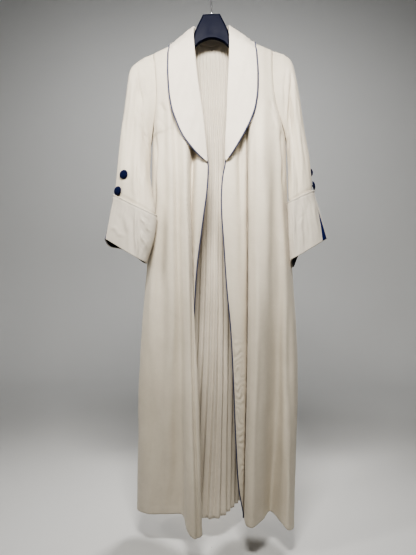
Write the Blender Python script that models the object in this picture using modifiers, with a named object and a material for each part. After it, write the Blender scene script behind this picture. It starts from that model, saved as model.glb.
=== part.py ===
# Abaya coat on its hanger: an open coat in beige crepe with a shawl collar, navy piping,
# turned-up cuffs with covered buttons, and a back in fine sunray pleats.
# The mesh is in metres, +Z up. The origin is the inside top of the hook. The front faces -Y and
# the wearer's right side is at -X. The tables below are in millimetres, and a "drop" in them is a
# distance below the origin. Each cloth piece is a wall round a smooth middle surface.

from math import pi, radians, sin

import bmesh
import bpy
import numpy as np
from mathutils import Vector
from mathutils.bvhtree import BVHTree

MM = 0.001

# Cloth
CLOTH = 1.2             # crepe with its facing, full thickness
PLEAT_CLOTH = 1.4       # measured straight through a slanted pleat wall, 1 mm along its face
LINING = 1.0
CUFF_CLOTH = 1.5        # crepe folded on itself
SEAM = 0.3              # between pieces that are sewn together
LAID = 0.35             # between a piece and the cloth that it lies on
PIPING_RADIUS = 1.5

# Shoulders and neck
NECK_HALF = 54          # neck point to the middle
SHOULDER_DROP = 151.5   # shoulder line at the neck points, before the hanger's tilt
SHOULDER_SLOPE = 0.4425
TILT = 0.0384           # the hanger hangs with the wearer's left side higher
BACK_NECK = ((-44, 26, 160), (0, 44, 166), (44, 26, 157))   # x, y, drop between the neck points

# Pleats of the back
PLEATS = 34
PLEAT_DEPTH = ((0, 0.2), (0.03, 1.6), (0.2, 1.9), (0.6, 2.8), (1, 4.4))    # row, half depth
PLEAT_LEAN = 0.05       # how far the pleats lean to the wearer's right at the hem, of the width
PLEAT_SPREAD = 0.3      # how much wider they stand at the middle of the hem

# Rows of the body, as fractions of the way from shoulder to hem. The armhole takes the first ones.
ARMPIT = 0.183
ARMHOLE_ROWS = (0, 0.02, 0.06, 0.14, 0.25, 0.38, 0.5, 0.62, 0.74, 0.87, 1)
PIPING_ROW = 0.267      # where the collar ends and the front edge's piping starts
FRONT_ROWS = tuple(ARMPIT * t for t in ARMHOLE_ROWS) + (
    0.215, 0.25, PIPING_ROW, 0.31, 0.34, 0.39, 0.45, 0.5, 0.56, 0.62, 0.68, 0.74, 0.8, 0.91, 1)
BACK_ROWS = tuple(ARMPIT * t for t in ARMHOLE_ROWS) + (0.25, 0.34, 0.45, 0.56, 0.68, 0.8, 0.91, 1)
FRONT_STEPS = 2         # mesh columns between two fold lines of a front

# Each side of the body. armhole: half width at its top and bottom, and how far it curves in.
# seam: drop, x, y down the side seam. edge: drop, x, y down the front edge.
SIDES = {
    "right": {
        "sign": -1,
        "armhole_top": 164, "armhole_foot": 165, "armhole_curve": 11,
        "hem": 1518,
        "seam": ((447, -165, 0), (628, -171, 12), (1070, -200, 45), (1518, -217, 95)),
        "edge": ((172, -53, -17), (216, -48, -32), (284, -41, -40), (346, -32, -43),
                 (402, -24, -45), (493, -15, -47), (528, -11, -47), (587, -13, -46),
                 (680, -25, -45), (802, -39, -44), (932, -46, -42), (1070, -51, -40),
                 (1290, -54, -35), (1500, -56, -30)),
    },
    "left": {
        "sign": 1,
        "armhole_top": 173, "armhole_foot": 208, "armhole_curve": 9,
        "hem": 1522,
        "seam": ((439, 208, 0), (628, 216, 14), (1070, 244, 30), (1522, 231, 40)),
        "edge": ((168, 53, -17), (216, 51, -32), (284, 48, -39), (344, 45, -42),
                 (402, 43, -44), (493, 40, -46), (520, 40, -47), (559, 33, -46),
                 (608, 29, -45), (668, 30, -44), (737, 35, -42), (869, 44, -40),
                 (973, 54, -38), (1138, 63, -34), (1285, 69, -31), (1451, 80, -27),
                 (1507, 87, -26)),
    },
}
ARMHOLE_DEPTH = 25      # how far the armhole's edge stands before and behind the shoulder
ARMPIT_EASE = 1.6       # extra room where the body faces sideways at the foot of the armhole

# Fold lines of the fronts, from the front edge to the side seam. A row per height: x, y of each.
# Columns of the right front: strip, valley, turn, crest, flank, hollow, ridge, dip, outer, side.
# The hems give the drop of each line's foot, with the front edge before and the side seam after.
CHEST, UNDERARM, WAIST, KNEE = 335, 452, 628, 1070
RIGHT_FRONT = {
    CHEST: ((-45, -40), (-59, -38), (-68, -39), (-81, -43), (-94, -43),
            (-109, -39), (-121, -39), (-136, -35), (-146, -32), (-151, -29)),
    UNDERARM: ((-37, -46), (-58, -38), (-65, -47), (-75, -57), (-88, -55),
               (-100, -46), (-114, -50), (-134, -40), (-150, -33), (-161, -15)),
    WAIST: ((-37, -48), (-60, -36), (-62, -52), (-71, -65), (-83, -60),
            (-94, -50), (-110, -57), (-136, -42), (-153, -31), (-168, -8)),
    KNEE: ((-61, -38), (-70, -40), (-38, -69), (-52, -80), (-70, -69),
           (-84, -50), (-106, -55), (-134, -38), (-176, -28), (-201, 10)),
    "hem": ((-62, -31), (-67, -38), (-24, -82), (-44, -107), (-66, -80),
            (-80, -24), (-114, -12), (-147, -6), (-182, 0), (-214, 48)),
}
RIGHT_HEM = (1500, 1505, 1512, 1521, 1524, 1510, 1498, 1500, 1503, 1505, 1515, 1518)
# Columns of the left front: strip, turn, valley, fold, crest, broad, hollow, ridge, outer, side.
LEFT_FRONT = {
    CHEST: ((59, -41), (78, -40), (92, -37), (102, -38), (118, -43),
            (138, -43), (156, -38), (166, -35), (171, -31), (174, -28)),
    UNDERARM: ((58, -48), (82, -46), (101, -33), (107, -47), (123, -61),
               (148, -59), (172, -47), (187, -42), (198, -30), (205, -13)),
    WAIST: ((58, -51), (86, -47), (106, -26), (109, -52), (125, -73),
            (152, -71), (178, -50), (194, -42), (205, -26), (214, -4)),
    KNEE: ((71, -41), (88, -38), (100, -20), (103, -50), (119, -77),
           (150, -66), (182, -38), (205, -50), (227, -40), (241, -10)),
    "hem": ((90, -27), (95, -26), (99, -32), (91, -52), (108, -80),
            (136, -50), (165, -4), (188, -38), (206, -63), (228, -30)),
}
LEFT_HEM = (1507, 1507, 1507, 1506, 1506, 1506, 1500, 1496, 1508, 1520, 1527, 1522)

# The back, from the right side seam to the left one. A row per height: x, y of its fold lines.
# Columns: right seam, hip, blade, middle, gap, then the spine, then left gap, bend, middle, blade,
# hip, seam.
BACK = {
    CHEST: ((-155, 25), (-146, 33), (-120, 46), (-82, 55), (-42, 58), (2, 59),
            (38, 58), (70, 57), (106, 53), (142, 45), (167, 33), (176, 25)),
    UNDERARM: ((-165, 0), (-161, 24), (-135, 50), (-92, 62), (-44, 66), (2, 67),
               (38, 67), (72, 66), (112, 62), (160, 50), (201, 24), (208, 0)),
    WAIST: ((-171, 12), (-165, 38), (-136, 62), (-92, 76), (-44, 78), (0, 75),
            (36, 75), (70, 78), (112, 76), (166, 62), (208, 38), (216, 14)),
    KNEE: ((-200, 45), (-188, 75), (-152, 98), (-106, 96), (-60, 76), (-16, 60),
           (26, 58), (62, 78), (104, 101), (165, 99), (222, 68), (244, 30)),
    "hem": ((-217, 95), (-200, 121), (-158, 135), (-112, 112), (-66, 62), (-24, 28),
            (20, 22), (54, 60), (86, 108), (145, 132), (204, 102), (231, 40)),
}
BACK_HEM = (1518, 1519, 1517, 1520, 1525, 1529, 1527, 1521, 1514, 1513, 1517, 1522)

# Sleeves: from shoulder to cuff, the outer and the inner line as x, y, drop, then how far the
# front and the back swell from the line between them, and where the front swells most (0.5 is
# the middle). The last three rows carry the cuff. Columns: outer, inner, front, back, swell.
SLEEVES = {
    "right": (
        ((-188, -1, 217.5), (-173, -1, 466), 27, 26, 0.50),
        ((-210, -2, 231.5), (-179, -2, 480), 28, 27, 0.50),
        ((-227, -3, 251), (-181, -3, 492), 28, 26, 0.50),
        ((-234, -6, 287), (-180, -4, 506), 27, 25, 0.50),
        ((-243, -10, 362), (-175, -14, 542), 25, 24, 0.52),
        ((-253, -16, 439), (-168, -30, 579), 24, 23, 0.56),
        ((-260, -24, 525), (-161, -46, 614), 24, 22, 0.60),
        ((-267, -32, 612), (-153, -58, 673), 25, 24, 0.66),
        ((-277, -38, 671), (-159, -60, 730), 27, 28, 0.70),
        ((-291, -42, 730), (-179, -60, 796), 28, 32, 0.72),
    ),
    "left": (
        ((202, -1, 208), (217, -1, 458), 27, 26, 0.50),
        ((218, -2, 220), (219, -2, 472), 28, 27, 0.50),
        ((227, -3, 234), (220, -3, 484), 28, 26, 0.50),
        ((234, -6, 262), (220, -5, 498), 27, 25, 0.50),
        ((247, -10, 336), (218, -16, 529), 26, 24, 0.48),
        ((259, -14, 425), (213, -30, 562), 25, 24, 0.46),
        ((272, -20, 510), (212, -40, 594), 24, 26, 0.44),
        ((280, -26, 600), (212, -46, 634), 24, 30, 0.42),
        ((295, -30, 656), (214, -50, 708), 26, 34, 0.42),
        ((314, -32, 730), (219, -52, 787), 27, 38, 0.42),
    ),
}
SLEEVE_CREASE = {       # across the sleeve front, how deep, and how wide it is, of the width
    "right": (0.36, 7, 0.13),
    "left": (0.62, 9, 0.14),
}
SLEEVE_ROWS = (0, 0.5, 1, 1.5, 2, 3, 4, 5, 6, 7, 8, 8.5, 9, 9.5, 10)

# Cuffs and slits
CUFF_TOP = 8                        # sleeve row of the cuff's upper edge
SLIT_COLUMN = {"right": 0, "left": 1}   # sleeve column that the slit runs up
SLIT_OPEN = ((8.5, 0.012), (9, 0.12), (9.5, 0.52), (10, 0.92))      # row, half width in columns
FACING_REACH = ((8.5, 0.35), (9, 0.55), (9.5, 0.7), (10, 1))
FACING_COLUMNS = (-1.4, -1, 0, 1, 1.4)
FACING_GAP = 1.3                    # more than LAID, because its points lie between the sleeve's
BAND_GAP = 0.8

# Collar, from the point at the right front round the neck to the point at the left front. along:
# a place on its seam, 0 at the middle of the back neck, NECK_WAY at the neck points, and past them
# the way down the front edge. roll and outer: x, y, drop of its rolled and its piped edge.
NECK_WAY = 80
COLLAR = (
    (-411, (-10, -50, 520), (-14, -55, 521)), (-392, (-13, -50, 493), (-40, -61, 497)),
    (-368, (-16, -49, 455), (-70, -65, 461)), (-328, (-21, -47, 402), (-97, -61, 404)),
    (-272, (-29, -45, 346), (-111, -55, 352)), (-210, (-38, -42, 282), (-117, -49, 290)),
    (-142, (-45, -34, 210), (-118, -40, 238)), (-98, (-49, -16, 155), (-117, -23, 200)),
    (-80, (-49, 4, 127), (-114, 1, 180)), (-40, (-37, 33, 120), (-80, 55, 194)),
    (0, (0, 47, 116), (0, 72, 191)), (40, (37, 33, 118), (84, 55, 189)),
    (80, (49, 4, 124), (119, 1, 174)), (98, (49, -16, 151), (121, -23, 194)),
    (146, (48, -34, 210), (124, -40, 240)), (214, (45, -41, 282), (125, -50, 290)),
    (274, (42, -44, 344), (122, -54, 345)), (332, (40, -46, 402), (109, -60, 398)),
    (374, (37, -49, 455), (83, -64, 452)), (397, (37, -50, 493), (58, -64, 494)),
    (414, (37, -51, 516), (41, -56, 518)),
)
NECK_STOPS = (-70, -60, -50, -40, -25, -12, 0, 12, 25, 40, 50, 60, 70)     # along the back neck
COLLAR_FALL_STEPS = 4
ROLL_LIFT = 4
ROLL_GAP = 1.2
COLLAR_GAP = 3.2                            # from the body's middle surface
PIPING_GAP = 4.3
PUSH_PASSES = 3

# Covered buttons: radius, height from the drop of a turned profile. Places are a sleeve row and
# column, counted from the outer line towards the front.
BUTTON_PROFILE = ((0, 8.3), (5, 7.9), (9.4, 6.6), (12, 4.7), (12.6, 3.4), (11.6, 2.6), (3, 2.0),
                  (2.6, 0), (0, 0))
BUTTON_STEPS = 11
BUTTONS = {
    "right": ((7.14, 3.1), (7.79, 1.95)),
    "left": ((7.35, -1.3), (7.82, 0.4)),
}

# Hanger: from the middle outwards, x, top, bottom, half thickness, before the tilt. Past the neck
# plate the top follows the shoulder line and None stands for it.
HANGER = (
    (0, 94, 165, 8), (12, 94, 166.5, 8), (24, 94, 171, 8), (36, 118, 178, 8), (46.5, 140, 188, 8),
    (50, 153.5, 191, 7.5),
    (54, None, 193, 7), (84, None, 208, 7), (114, None, 222, 6.5), (164, None, 247, 5),
    (190, None, 261, 5), (208, None, 269, 5), (219, None, 272, 4), (223, None, 270, 2.5),
)
HANGER_REST = 1.5       # from the middle of the cloth down to the arm
HANGER_END = 172        # where the arm starts to curve down
HANGER_END_DROP = 16
HANGER_SIDES = 12
PLATE_SQUARE, ARM_SQUARE = 0.5, 1       # 1 is an oval section, less is squarer

# Hook: a wire bent round the rail, then back over the middle of the plate
WIRE = 2.0
HOOK_INSIDE = 16
HOOK_TIP_ANGLE = 200
HOOK_LEAVE_ANGLE = -48
HOOK_SHAFT_TOP = 47

NAVY = (0.012, 0.018, 0.09)
CREPE = (0.66, 0.62, 0.56)
MATERIALS = {           # colour, roughness, metallic
    "crepe": (CREPE, 0.75, 0.0),
    "pleated crepe": ((0.62, 0.58, 0.51), 0.75, 0.0),
    "collar crepe": ((0.70, 0.67, 0.61), 0.7, 0.0),
    "cuff crepe": ((0.64, 0.61, 0.56), 0.72, 0.0),
    "navy piping": ((0.02, 0.024, 0.07), 0.6, 0.0),
    "navy facing": (NAVY, 0.7, 0.0),
    "black lining": ((0.006, 0.006, 0.008), 0.8, 0.0),
    "navy button cloth": (NAVY, 0.75, 0.0),
    "navy plastic": ((0.012, 0.016, 0.035), 0.45, 0.0),
    "chrome": ((0.8, 0.8, 0.8), 0.15, 1.0),
}


# Curves and grids

def spline(knots, values, at):
    """A smooth curve through the values at rising knots, read at each place in at."""
    knots, values, at = (np.asarray(a, float) for a in (knots, values, at))
    slopes = np.gradient(values, knots, axis=0)
    i = np.clip(np.searchsorted(knots, at, side="right") - 1, 0, len(knots) - 2)
    column = (-1,) + (1,) * (values.ndim - 1)
    h = (knots[i + 1] - knots[i]).reshape(column)
    t = (at - knots[i]).reshape(column) / h
    return ((2 * t**3 - 3 * t**2 + 1) * values[i] + (t**3 - 2 * t**2 + t) * h * slopes[i]
            + (3 * t**2 - 2 * t**3) * values[i + 1] + (t**3 - t**2) * h * slopes[i + 1])


def unit(vectors):
    """The same directions with length 1."""
    return vectors / np.maximum(np.linalg.norm(vectors, axis=-1, keepdims=True), 1e-9)


def outwards(line, beside):
    """Directions from the cloth beside a line across the line, square to it."""
    along = unit(np.gradient(line, axis=0))
    across = line - beside
    return unit(across - (across * along).sum(1, keepdims=True) * along)


def read_at(z, values, wanted):
    """Rows of values that belong to falling heights z, read straight between them at others."""
    return np.stack([np.interp(-wanted, -z, values[:, k]) for k in range(values.shape[1])], 1)


def smoothstep(low, high, x):
    """0 below low, 1 above high, and an even S between them."""
    t = np.clip((x - low) / (high - low), 0, 1)
    return t * t * (3 - 2 * t)


def along_length(line, fractions):
    """Points at fractions of a dense line's length."""
    steps = np.linalg.norm(np.diff(line[:, :2], axis=0), axis=1)
    length = np.concatenate(([0], np.cumsum(steps)))
    return np.stack([np.interp(fractions, length / length[-1], line[:, k]) for k in range(3)], 1)


def grid_normals(grid, tube=False):
    """Normals of a grid of points, by the cross product of its two directions."""
    down = np.gradient(grid, axis=0)
    if tube:
        across = np.roll(grid, -1, axis=1) - np.roll(grid, 1, axis=1)
    else:
        across = np.gradient(grid, axis=1)
    return unit(np.cross(across, down))


# The body's middle surface

def shoulder(x):
    """A point of the shoulder line: x, y, z."""
    x = np.asarray(x, float)
    z = -SHOULDER_DROP + TILT * x - SHOULDER_SLOPE * (np.abs(x) - NECK_HALF)
    return np.stack([x, np.zeros_like(x), z], -1)


def armhole(side, face, t):
    """The armhole's edge from shoulder (t 0) to armpit (t 1); face is -1 before, 1 behind."""
    cut = SIDES[side]
    t = np.asarray(t, float)
    top = -shoulder(cut["sign"] * cut["armhole_top"])[2]
    foot = top + (cut["hem"] - top) * ARMPIT
    x = (cut["armhole_top"] + (cut["armhole_foot"] - cut["armhole_top"]) * t**2
         - cut["armhole_curve"] * np.sin(pi * t))
    y = face * ARMHOLE_DEPTH * np.sqrt(np.maximum(np.sin(pi * t), 0))
    return np.stack([cut["sign"] * x, y, -(top + (foot - top) * t)], -1)


def side_seam(side, z):
    """The side seam below the armpit, at heights z."""
    table = np.array(SIDES[side]["seam"], float)
    xy = spline(table[:, 0], table[:, 1:], -z)
    return np.concatenate([xy, z[:, None]], 1)


def front_edge(side, z):
    """The front edge, at heights z."""
    sign = SIDES[side]["sign"]
    neck = shoulder(sign * NECK_HALF)
    table = np.array([(-neck[2], neck[0], -1)] + list(SIDES[side]["edge"]), float)
    xy = spline(table[:, 0], table[:, 1:], -z)
    return np.concatenate([xy, z[:, None]], 1)


def seam_column(side, face, z):
    """The outer edge of a body panel: armhole, then side seam. Fronts and back share its corners."""
    count = len(ARMHOLE_ROWS)
    hole = armhole(side, face, ARMHOLE_ROWS)
    corners = hole[0, 2] + (-SIDES[side]["hem"] - hole[0, 2]) * np.array(BACK_ROWS[count - 1:])
    return np.concatenate([hole, read_at(corners, side_seam(side, corners), z[count:])])


def drape(top, table, z, hem_drop):
    """One fold line: over the shoulder to the chest, then down through its table to the hem."""
    chest = table[0]
    depth = np.clip((-z + top[2]) / (CHEST + top[2]), 0, 1)
    x = top[0] + (chest[0] - top[0]) * smoothstep(0, 1, depth)
    bend = np.sqrt(depth * (2 - depth))
    ease = depth * (2 - depth)
    flat = min(abs(top[1]) / 44, 1)
    y = top[1] + (chest[1] - top[1]) * (bend * (1 - flat) + ease * flat)
    knots = (CHEST, UNDERARM, WAIST, KNEE, hem_drop)
    low = spline(knots, table, np.clip(-z, CHEST, hem_drop))
    below = -z > CHEST
    return np.stack([np.where(below, low[:, 0], x), np.where(below, low[:, 1], y), z], 1)


def armhole_pull(side, face, rows):
    """How far the armhole's cut moves the cloth's edge from a plain drape, in x and y by row."""
    cut = SIDES[side]
    top, foot = armhole(side, face, [0, 1])
    chest = armhole(side, face, (CHEST + top[2]) / (top[2] - foot[2]))
    seam = side_seam(side, -np.array([WAIST, KNEE, cut["hem"]], float))
    table = np.array([chest[:2], foot[:2], *seam[:, :2]])
    z = top[2] + (-cut["hem"] - top[2]) * np.array(rows)
    return seam_column(side, face, z)[:, :2] - drape(top, table, z, cut["hem"])[:, :2]


def front_surface(side, table, hems):
    """The middle surface of a front: rows down, columns from the front edge to the side."""
    cut = SIDES[side]
    levels = np.array([table[key] for key in (CHEST, UNDERARM, WAIST, KNEE, "hem")], float)
    widths = np.abs(levels[0, :, 0])
    reach = (widths - 30) / (abs(armhole(side, -1, 0.55)[0]) - 30)
    tops = shoulder(cut["sign"] * (NECK_HALF + (cut["armhole_top"] - NECK_HALF) * reach))
    tops = np.concatenate([shoulder([cut["sign"] * NECK_HALF]), tops,
                           shoulder([cut["sign"] * cut["armhole_top"]])])
    pull = armhole_pull(side, -1, FRONT_ROWS)
    lines = []
    last = len(hems) - 1
    for i, (top, hem) in enumerate(zip(tops, hems)):
        z = top[2] + (-hem - top[2]) * np.array(FRONT_ROWS)
        if i == 0:
            lines.append(front_edge(side, z))
        elif i == last:
            lines.append(seam_column(side, -1, z))
        else:
            line = drape(top, levels[:, i - 1], z, hem)
            line[:, :2] += pull * (i / last)**3
            lines.append(line)
    lines = np.array(lines)
    at = np.linspace(0, last, FRONT_STEPS * last + 1)
    return spline(np.arange(last + 1), lines, at).transpose(1, 0, 2)


def pleat_places(row):
    """Fractions of the back's width where its pleats turn, at a row from 0 to 1."""
    f = np.linspace(0, 1, 2 * PLEATS + 1)
    return f - row**2 * (PLEAT_LEAN * np.sin(pi * f) + PLEAT_SPREAD * np.sin(2 * pi * f) / (2 * pi))


def back_top():
    """The back's top edge: shoulder line, back neck, shoulder line."""
    right, left = SIDES["right"], SIDES["left"]
    neck = np.array(BACK_NECK, float) * (1, 1, -1)
    corners = shoulder([-NECK_HALF, NECK_HALF])
    neck = np.concatenate([corners[:1], neck, corners[1:]])
    curve = spline(np.arange(len(neck)), neck, np.linspace(0, len(neck) - 1, 80))
    return np.concatenate([shoulder(np.linspace(-right["armhole_top"], -NECK_HALF, 40)), curve[1:-1],
                           shoulder(np.linspace(NECK_HALF, left["armhole_top"], 40))])


def back_surface():
    """The middle surface of the back before its pleats: rows down, a column for each turn."""
    top = along_length(back_top(), pleat_places(0))
    levels = []
    for key, row in ((CHEST, 0.1), (UNDERARM, 0.19), (WAIST, 0.33), (KNEE, 0.67), ("hem", 1)):
        drops = BACK_HEM if key == "hem" else [key] * len(BACK_HEM)
        points = np.array([(x, y, -drop) for (x, y), drop in zip(BACK[key], drops)], float)
        dense = spline(np.arange(len(points)), points, np.linspace(0, len(points) - 1, 240))
        levels.append(along_length(dense, pleat_places(row)))
    levels = np.array(levels)
    pull_right, pull_left = (armhole_pull(side, 1, BACK_ROWS) for side in ("right", "left"))
    lines = []
    last = top.shape[0] - 1
    for i in range(last + 1):
        hem = -levels[-1, i, 2]
        z = top[i, 2] + (-hem - top[i, 2]) * np.array(BACK_ROWS)
        if i in (0, last):
            lines.append(seam_column("right" if i == 0 else "left", 1, z))
        else:
            line = drape(top[i], levels[:, i, :2], z, hem)
            line[:, :2] += pull_right * (1 - i / last)**8 + pull_left * (i / last)**8
            lines.append(line)
    return np.array(lines).transpose(1, 0, 2)


def pleated(surface, normals):
    """The back with its pleats: each column stands out or in, none at the side seams."""
    depth = np.interp(BACK_ROWS, *zip(*PLEAT_DEPTH))[:, None]
    columns = np.arange(surface.shape[1])
    turn = np.where(columns % 2, 1.0, -1.0)
    ends = np.minimum(columns, columns[::-1])
    turn = turn * np.clip(ends / 2, 0, 1)
    return surface + normals * (depth * turn)[..., None]


# Sleeves

def sleeve_section(side, row, around):
    """Points of a sleeve from row 1 down. around runs 0 to 1 from the outer line over the front."""
    table = SLEEVES[side]
    knots = np.arange(1, len(table) + 1)
    outer = spline(knots, [r[0] for r in table], row) * (1, 1, -1)
    inner = spline(knots, [r[1] for r in table], row) * (1, 1, -1)
    front, back, swell = (spline(knots, [r[k] for r in table], row) for k in (2, 3, 4))
    around = np.mod(around, 1)
    is_front = around < 0.5
    t = np.where(is_front, 2 * around, 2 - 2 * around)
    across = (1 - np.cos(pi * t)) / 2
    skewed = across ** (np.log(0.5) / np.log(swell))
    swelling = np.sqrt(np.maximum(4 * skewed * (1 - skewed), 0))
    round_back = np.sqrt(np.maximum(4 * across * (1 - across), 0))
    place, depth, width = SLEEVE_CREASE[side]
    fade = smoothstep(0.6, 2.5, row) * (1 - 0.6 * smoothstep(5.5, 7.8, row))
    crease = depth * fade * np.exp(-((across - place) / width)**2)
    y = np.where(is_front, -front * swelling + crease, back * round_back)
    points = outer + (inner - outer) * across[:, None]
    points[:, 1] += y
    return points


def sleeve_points(side, row, around):
    """Points of a sleeve at rows 0 to 10: row 0 is the armhole."""
    row, around = np.broadcast_arrays(np.asarray(row, float), np.asarray(around, float))
    shape = row.shape
    row, around = row.ravel(), np.mod(around.ravel(), 1)
    low = sleeve_section(side, np.maximum(row, 1), around)
    t = np.where(around < 0.5, 2 * around, 2 - 2 * around)
    hole = np.where((around < 0.5)[:, None], armhole(side, -1, t), armhole(side, 1, t))
    blend = np.clip(row, 0, 1)[:, None]
    return (hole + (low - hole) * blend).reshape(shape + (3,))


def sleeve_normals(side, row, around):
    """Outward normals of a sleeve, from its slopes down and round."""
    down = sleeve_points(side, np.minimum(row + 0.05, 10), around) - sleeve_points(side, row - 0.05, around)
    round_ = sleeve_points(side, row, around + 0.004) - sleeve_points(side, row, around - 0.004)
    return unit(np.cross(round_, down)) * SIDES[side]["sign"]


# Meshes and objects

def start_scene():
    """An empty scene with one collection for the coat's parts."""
    for obj in list(bpy.data.objects):
        bpy.data.objects.remove(obj, do_unlink=True)
    collection = bpy.data.collections.new("abaya_coat_on_hanger")
    bpy.context.scene.collection.children.link(collection)
    return collection


def make_materials():
    """The Principled materials by name."""
    made = {}
    for name, (colour, roughness, metallic) in MATERIALS.items():
        material = bpy.data.materials.new(name)
        material.use_nodes = True
        shader = material.node_tree.nodes["Principled BSDF"]
        shader.inputs["Base Color"].default_value = (*colour, 1)
        shader.inputs["Roughness"].default_value = roughness
        shader.inputs["Metallic"].default_value = metallic
        made[name] = material
    return made


def add_mesh(name, points, faces, material):
    """An object from points in millimetres, with its faces turned outwards."""
    mesh = bpy.data.meshes.new(name)
    mesh.from_pydata((np.asarray(points) * MM).tolist(), [], faces)
    shape = bmesh.new()
    shape.from_mesh(mesh)
    bmesh.ops.recalc_face_normals(shape, faces=shape.faces)
    shape.to_mesh(mesh)
    shape.free()
    mesh.shade_smooth()
    mesh.set_sharp_from_angle(angle=radians(50))
    mesh.materials.append(material)
    obj = bpy.data.objects.new(name, mesh)
    COAT.objects.link(obj)
    return obj


def add_wall(name, middle, normals, thickness, material, tube=False):
    """A closed wall of even thickness round a grid of middle points. The two faces are made from
    the same normals, so that the edges of neighbouring pieces stay parallel."""
    rows, columns = middle.shape[:2]
    offset = normals * thickness / 2
    points = np.concatenate([(middle + offset).reshape(-1, 3), (middle - offset).reshape(-1, 3)])
    inside = rows * columns
    last = columns if tube else columns - 1

    def at(row, column):
        return row * columns + column % columns

    faces = []
    for r in range(rows - 1):
        for c in range(last):
            corners = (at(r, c), at(r, c + 1), at(r + 1, c + 1), at(r + 1, c))
            faces.append(corners)
            faces.append(tuple(inside + k for k in reversed(corners)))
    for r in (0, rows - 1):
        for c in range(last):
            a, b = at(r, c), at(r, c + 1)
            faces.append((a, b, inside + b, inside + a) if r else (b, a, inside + a, inside + b))
    if not tube:
        for c in (0, columns - 1):
            for r in range(rows - 1):
                a, b = at(r, c), at(r + 1, c)
                faces.append((b, a, inside + a, inside + b) if c else (a, b, inside + b, inside + a))
    return add_mesh(name, points, faces, material)


def add_cord(name, path, radius, material, resolution=1):
    """A tube of round section along a path of points in millimetres."""
    curve = bpy.data.curves.new(name, "CURVE")
    curve.dimensions = "3D"
    curve.bevel_depth = radius * MM
    curve.bevel_resolution = resolution
    curve.use_fill_caps = True
    line = curve.splines.new("POLY")
    line.points.add(len(path) - 1)
    line.points.foreach_set("co", np.concatenate([path * MM, np.ones((len(path), 1))], 1).ravel())
    curve.materials.append(material)
    obj = bpy.data.objects.new(name, curve)
    COAT.objects.link(obj)
    return obj


def trimmed(grid, left=False, right=False, top=False, gap=SEAM / 2):
    """The grid with its seam edges drawn back by half a seam gap."""
    grid = grid.copy()
    if left:
        grid[:, 0] -= outwards(grid[:, 0], grid[:, 1]) * gap
    if right:
        grid[:, -1] -= outwards(grid[:, -1], grid[:, -2]) * gap
    if top:
        grid[0] += unit(grid[1] - grid[0]) * gap
    return grid


# The pieces

def build_body():
    """Both fronts and the pleated back. Returns their middle surfaces and outward normals."""
    right = front_surface("right", RIGHT_FRONT, RIGHT_HEM)
    left = front_surface("left", LEFT_FRONT, LEFT_HEM)
    back = back_surface()
    normals = {"right": grid_normals(right), "left": -grid_normals(left), "back": grid_normals(back)}
    first = len(ARMHOLE_ROWS) - 1
    for side, surface, column in (("right", right, 0), ("left", left, -1)):
        front_z = surface[first:, -1, 2]
        back_z = back[first:, column, 2]
        of_front, of_back = normals[side][first:, -1].copy(), normals["back"][first:, column].copy()
        normals[side][first:, -1] = unit(of_front + read_at(back_z, of_back, front_z))
        normals["back"][first:, column] = unit(of_back + read_at(front_z, of_front, back_z))
    on_shoulder = np.abs(back[0, :, 0]) > NECK_HALF - 4
    for x_side, sign in (("right", -1), ("left", 1)):
        slope = SHOULDER_SLOPE - sign * TILT
        up = unit(np.array([sign * slope, 0, 1.0]))
        normals[x_side][0, :] = up
        chosen = on_shoulder & (np.sign(back[0, :, 0]) == sign)
        normals["back"][0, chosen] = up
    folded = pleated(back, normals["back"])
    add_wall("front_right", trimmed(right, right=True, top=True), normals["right"], CLOTH, SKIN["crepe"])
    add_wall("front_left", trimmed(left, right=True, top=True), normals["left"], CLOTH, SKIN["crepe"])
    add_wall("back_pleated", trimmed(folded, left=True, right=True, top=True), normals["back"],
             PLEAT_CLOTH, SKIN["pleated crepe"])
    return {"right": right, "left": left, "back": back}, normals


def sleeve_grid(side, surfaces, body_normals):
    """The sleeve's middle points and normals. Its first row takes the armhole's own points."""
    spread = np.arange(len(ARMHOLE_ROWS)) / (len(ARMHOLE_ROWS) - 1)
    rows = []
    for row in SLEEVE_ROWS:
        half = (np.array(ARMHOLE_ROWS) + (spread - ARMHOLE_ROWS) * smoothstep(0, 2, row)) / 2
        rows.append(np.concatenate([half, 1 - half[-2:0:-1]]))
    way = np.array(rows)
    row = np.repeat(np.array(SLEEVE_ROWS, float)[:, None], way.shape[1], 1)
    middle = sleeve_points(side, row, way)
    normals = sleeve_normals(side, row, way)

    last = len(ARMHOLE_ROWS)
    column = 0 if side == "right" else -1
    front, back = surfaces[side], surfaces["back"]
    edge = np.concatenate([front[:last, -1], back[:last, column][-2:0:-1]])
    edge_normals = np.concatenate([body_normals[side][:last, -1],
                                   body_normals["back"][:last, column][-2:0:-1]])
    t = np.where(way[0] < 0.5, 2 * way[0], 2 - 2 * way[0])[:, None]
    sideways = np.array([SIDES[side]["sign"], 0, 0])
    middle[0] = edge + sideways * (SEAM + ARMPIT_EASE * edge_normals[:, :1]**2)
    own = smoothstep(0.6, 0.95, t)
    normals[0] = unit(edge_normals * (1 - own) + normals[0] * own)
    return middle, normals


def on_sleeve(grid, rows, columns):
    """Points of a grid at the sleeve's own rows and at columns that may lie between two."""
    picked = [SLEEVE_ROWS.index(row) for row in rows]
    low = np.floor(columns).astype(int)
    part = (columns - low)[..., None]
    count = grid.shape[1]
    lines = np.array(picked)[:, None]
    return grid[lines, low % count] * (1 - part) + grid[lines, (low + 1) % count] * part


def add_layer(name, sleeve, rows, columns, offset, thickness, material, tube=False):
    """A wall that follows the sleeve's points, moved out by offset."""
    middle, normals = sleeve
    normals = unit(on_sleeve(normals, rows, columns))
    points = on_sleeve(middle, rows, columns) + normals * offset
    add_wall(name, points, normals, thickness, material, tube=tube)


def build_sleeve(side, sleeve):
    """A sleeve as one tube from the armhole to the cuff's hem."""
    add_wall(f"sleeve_{side}", *sleeve, CLOTH, SKIN["crepe"], tube=True)


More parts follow.
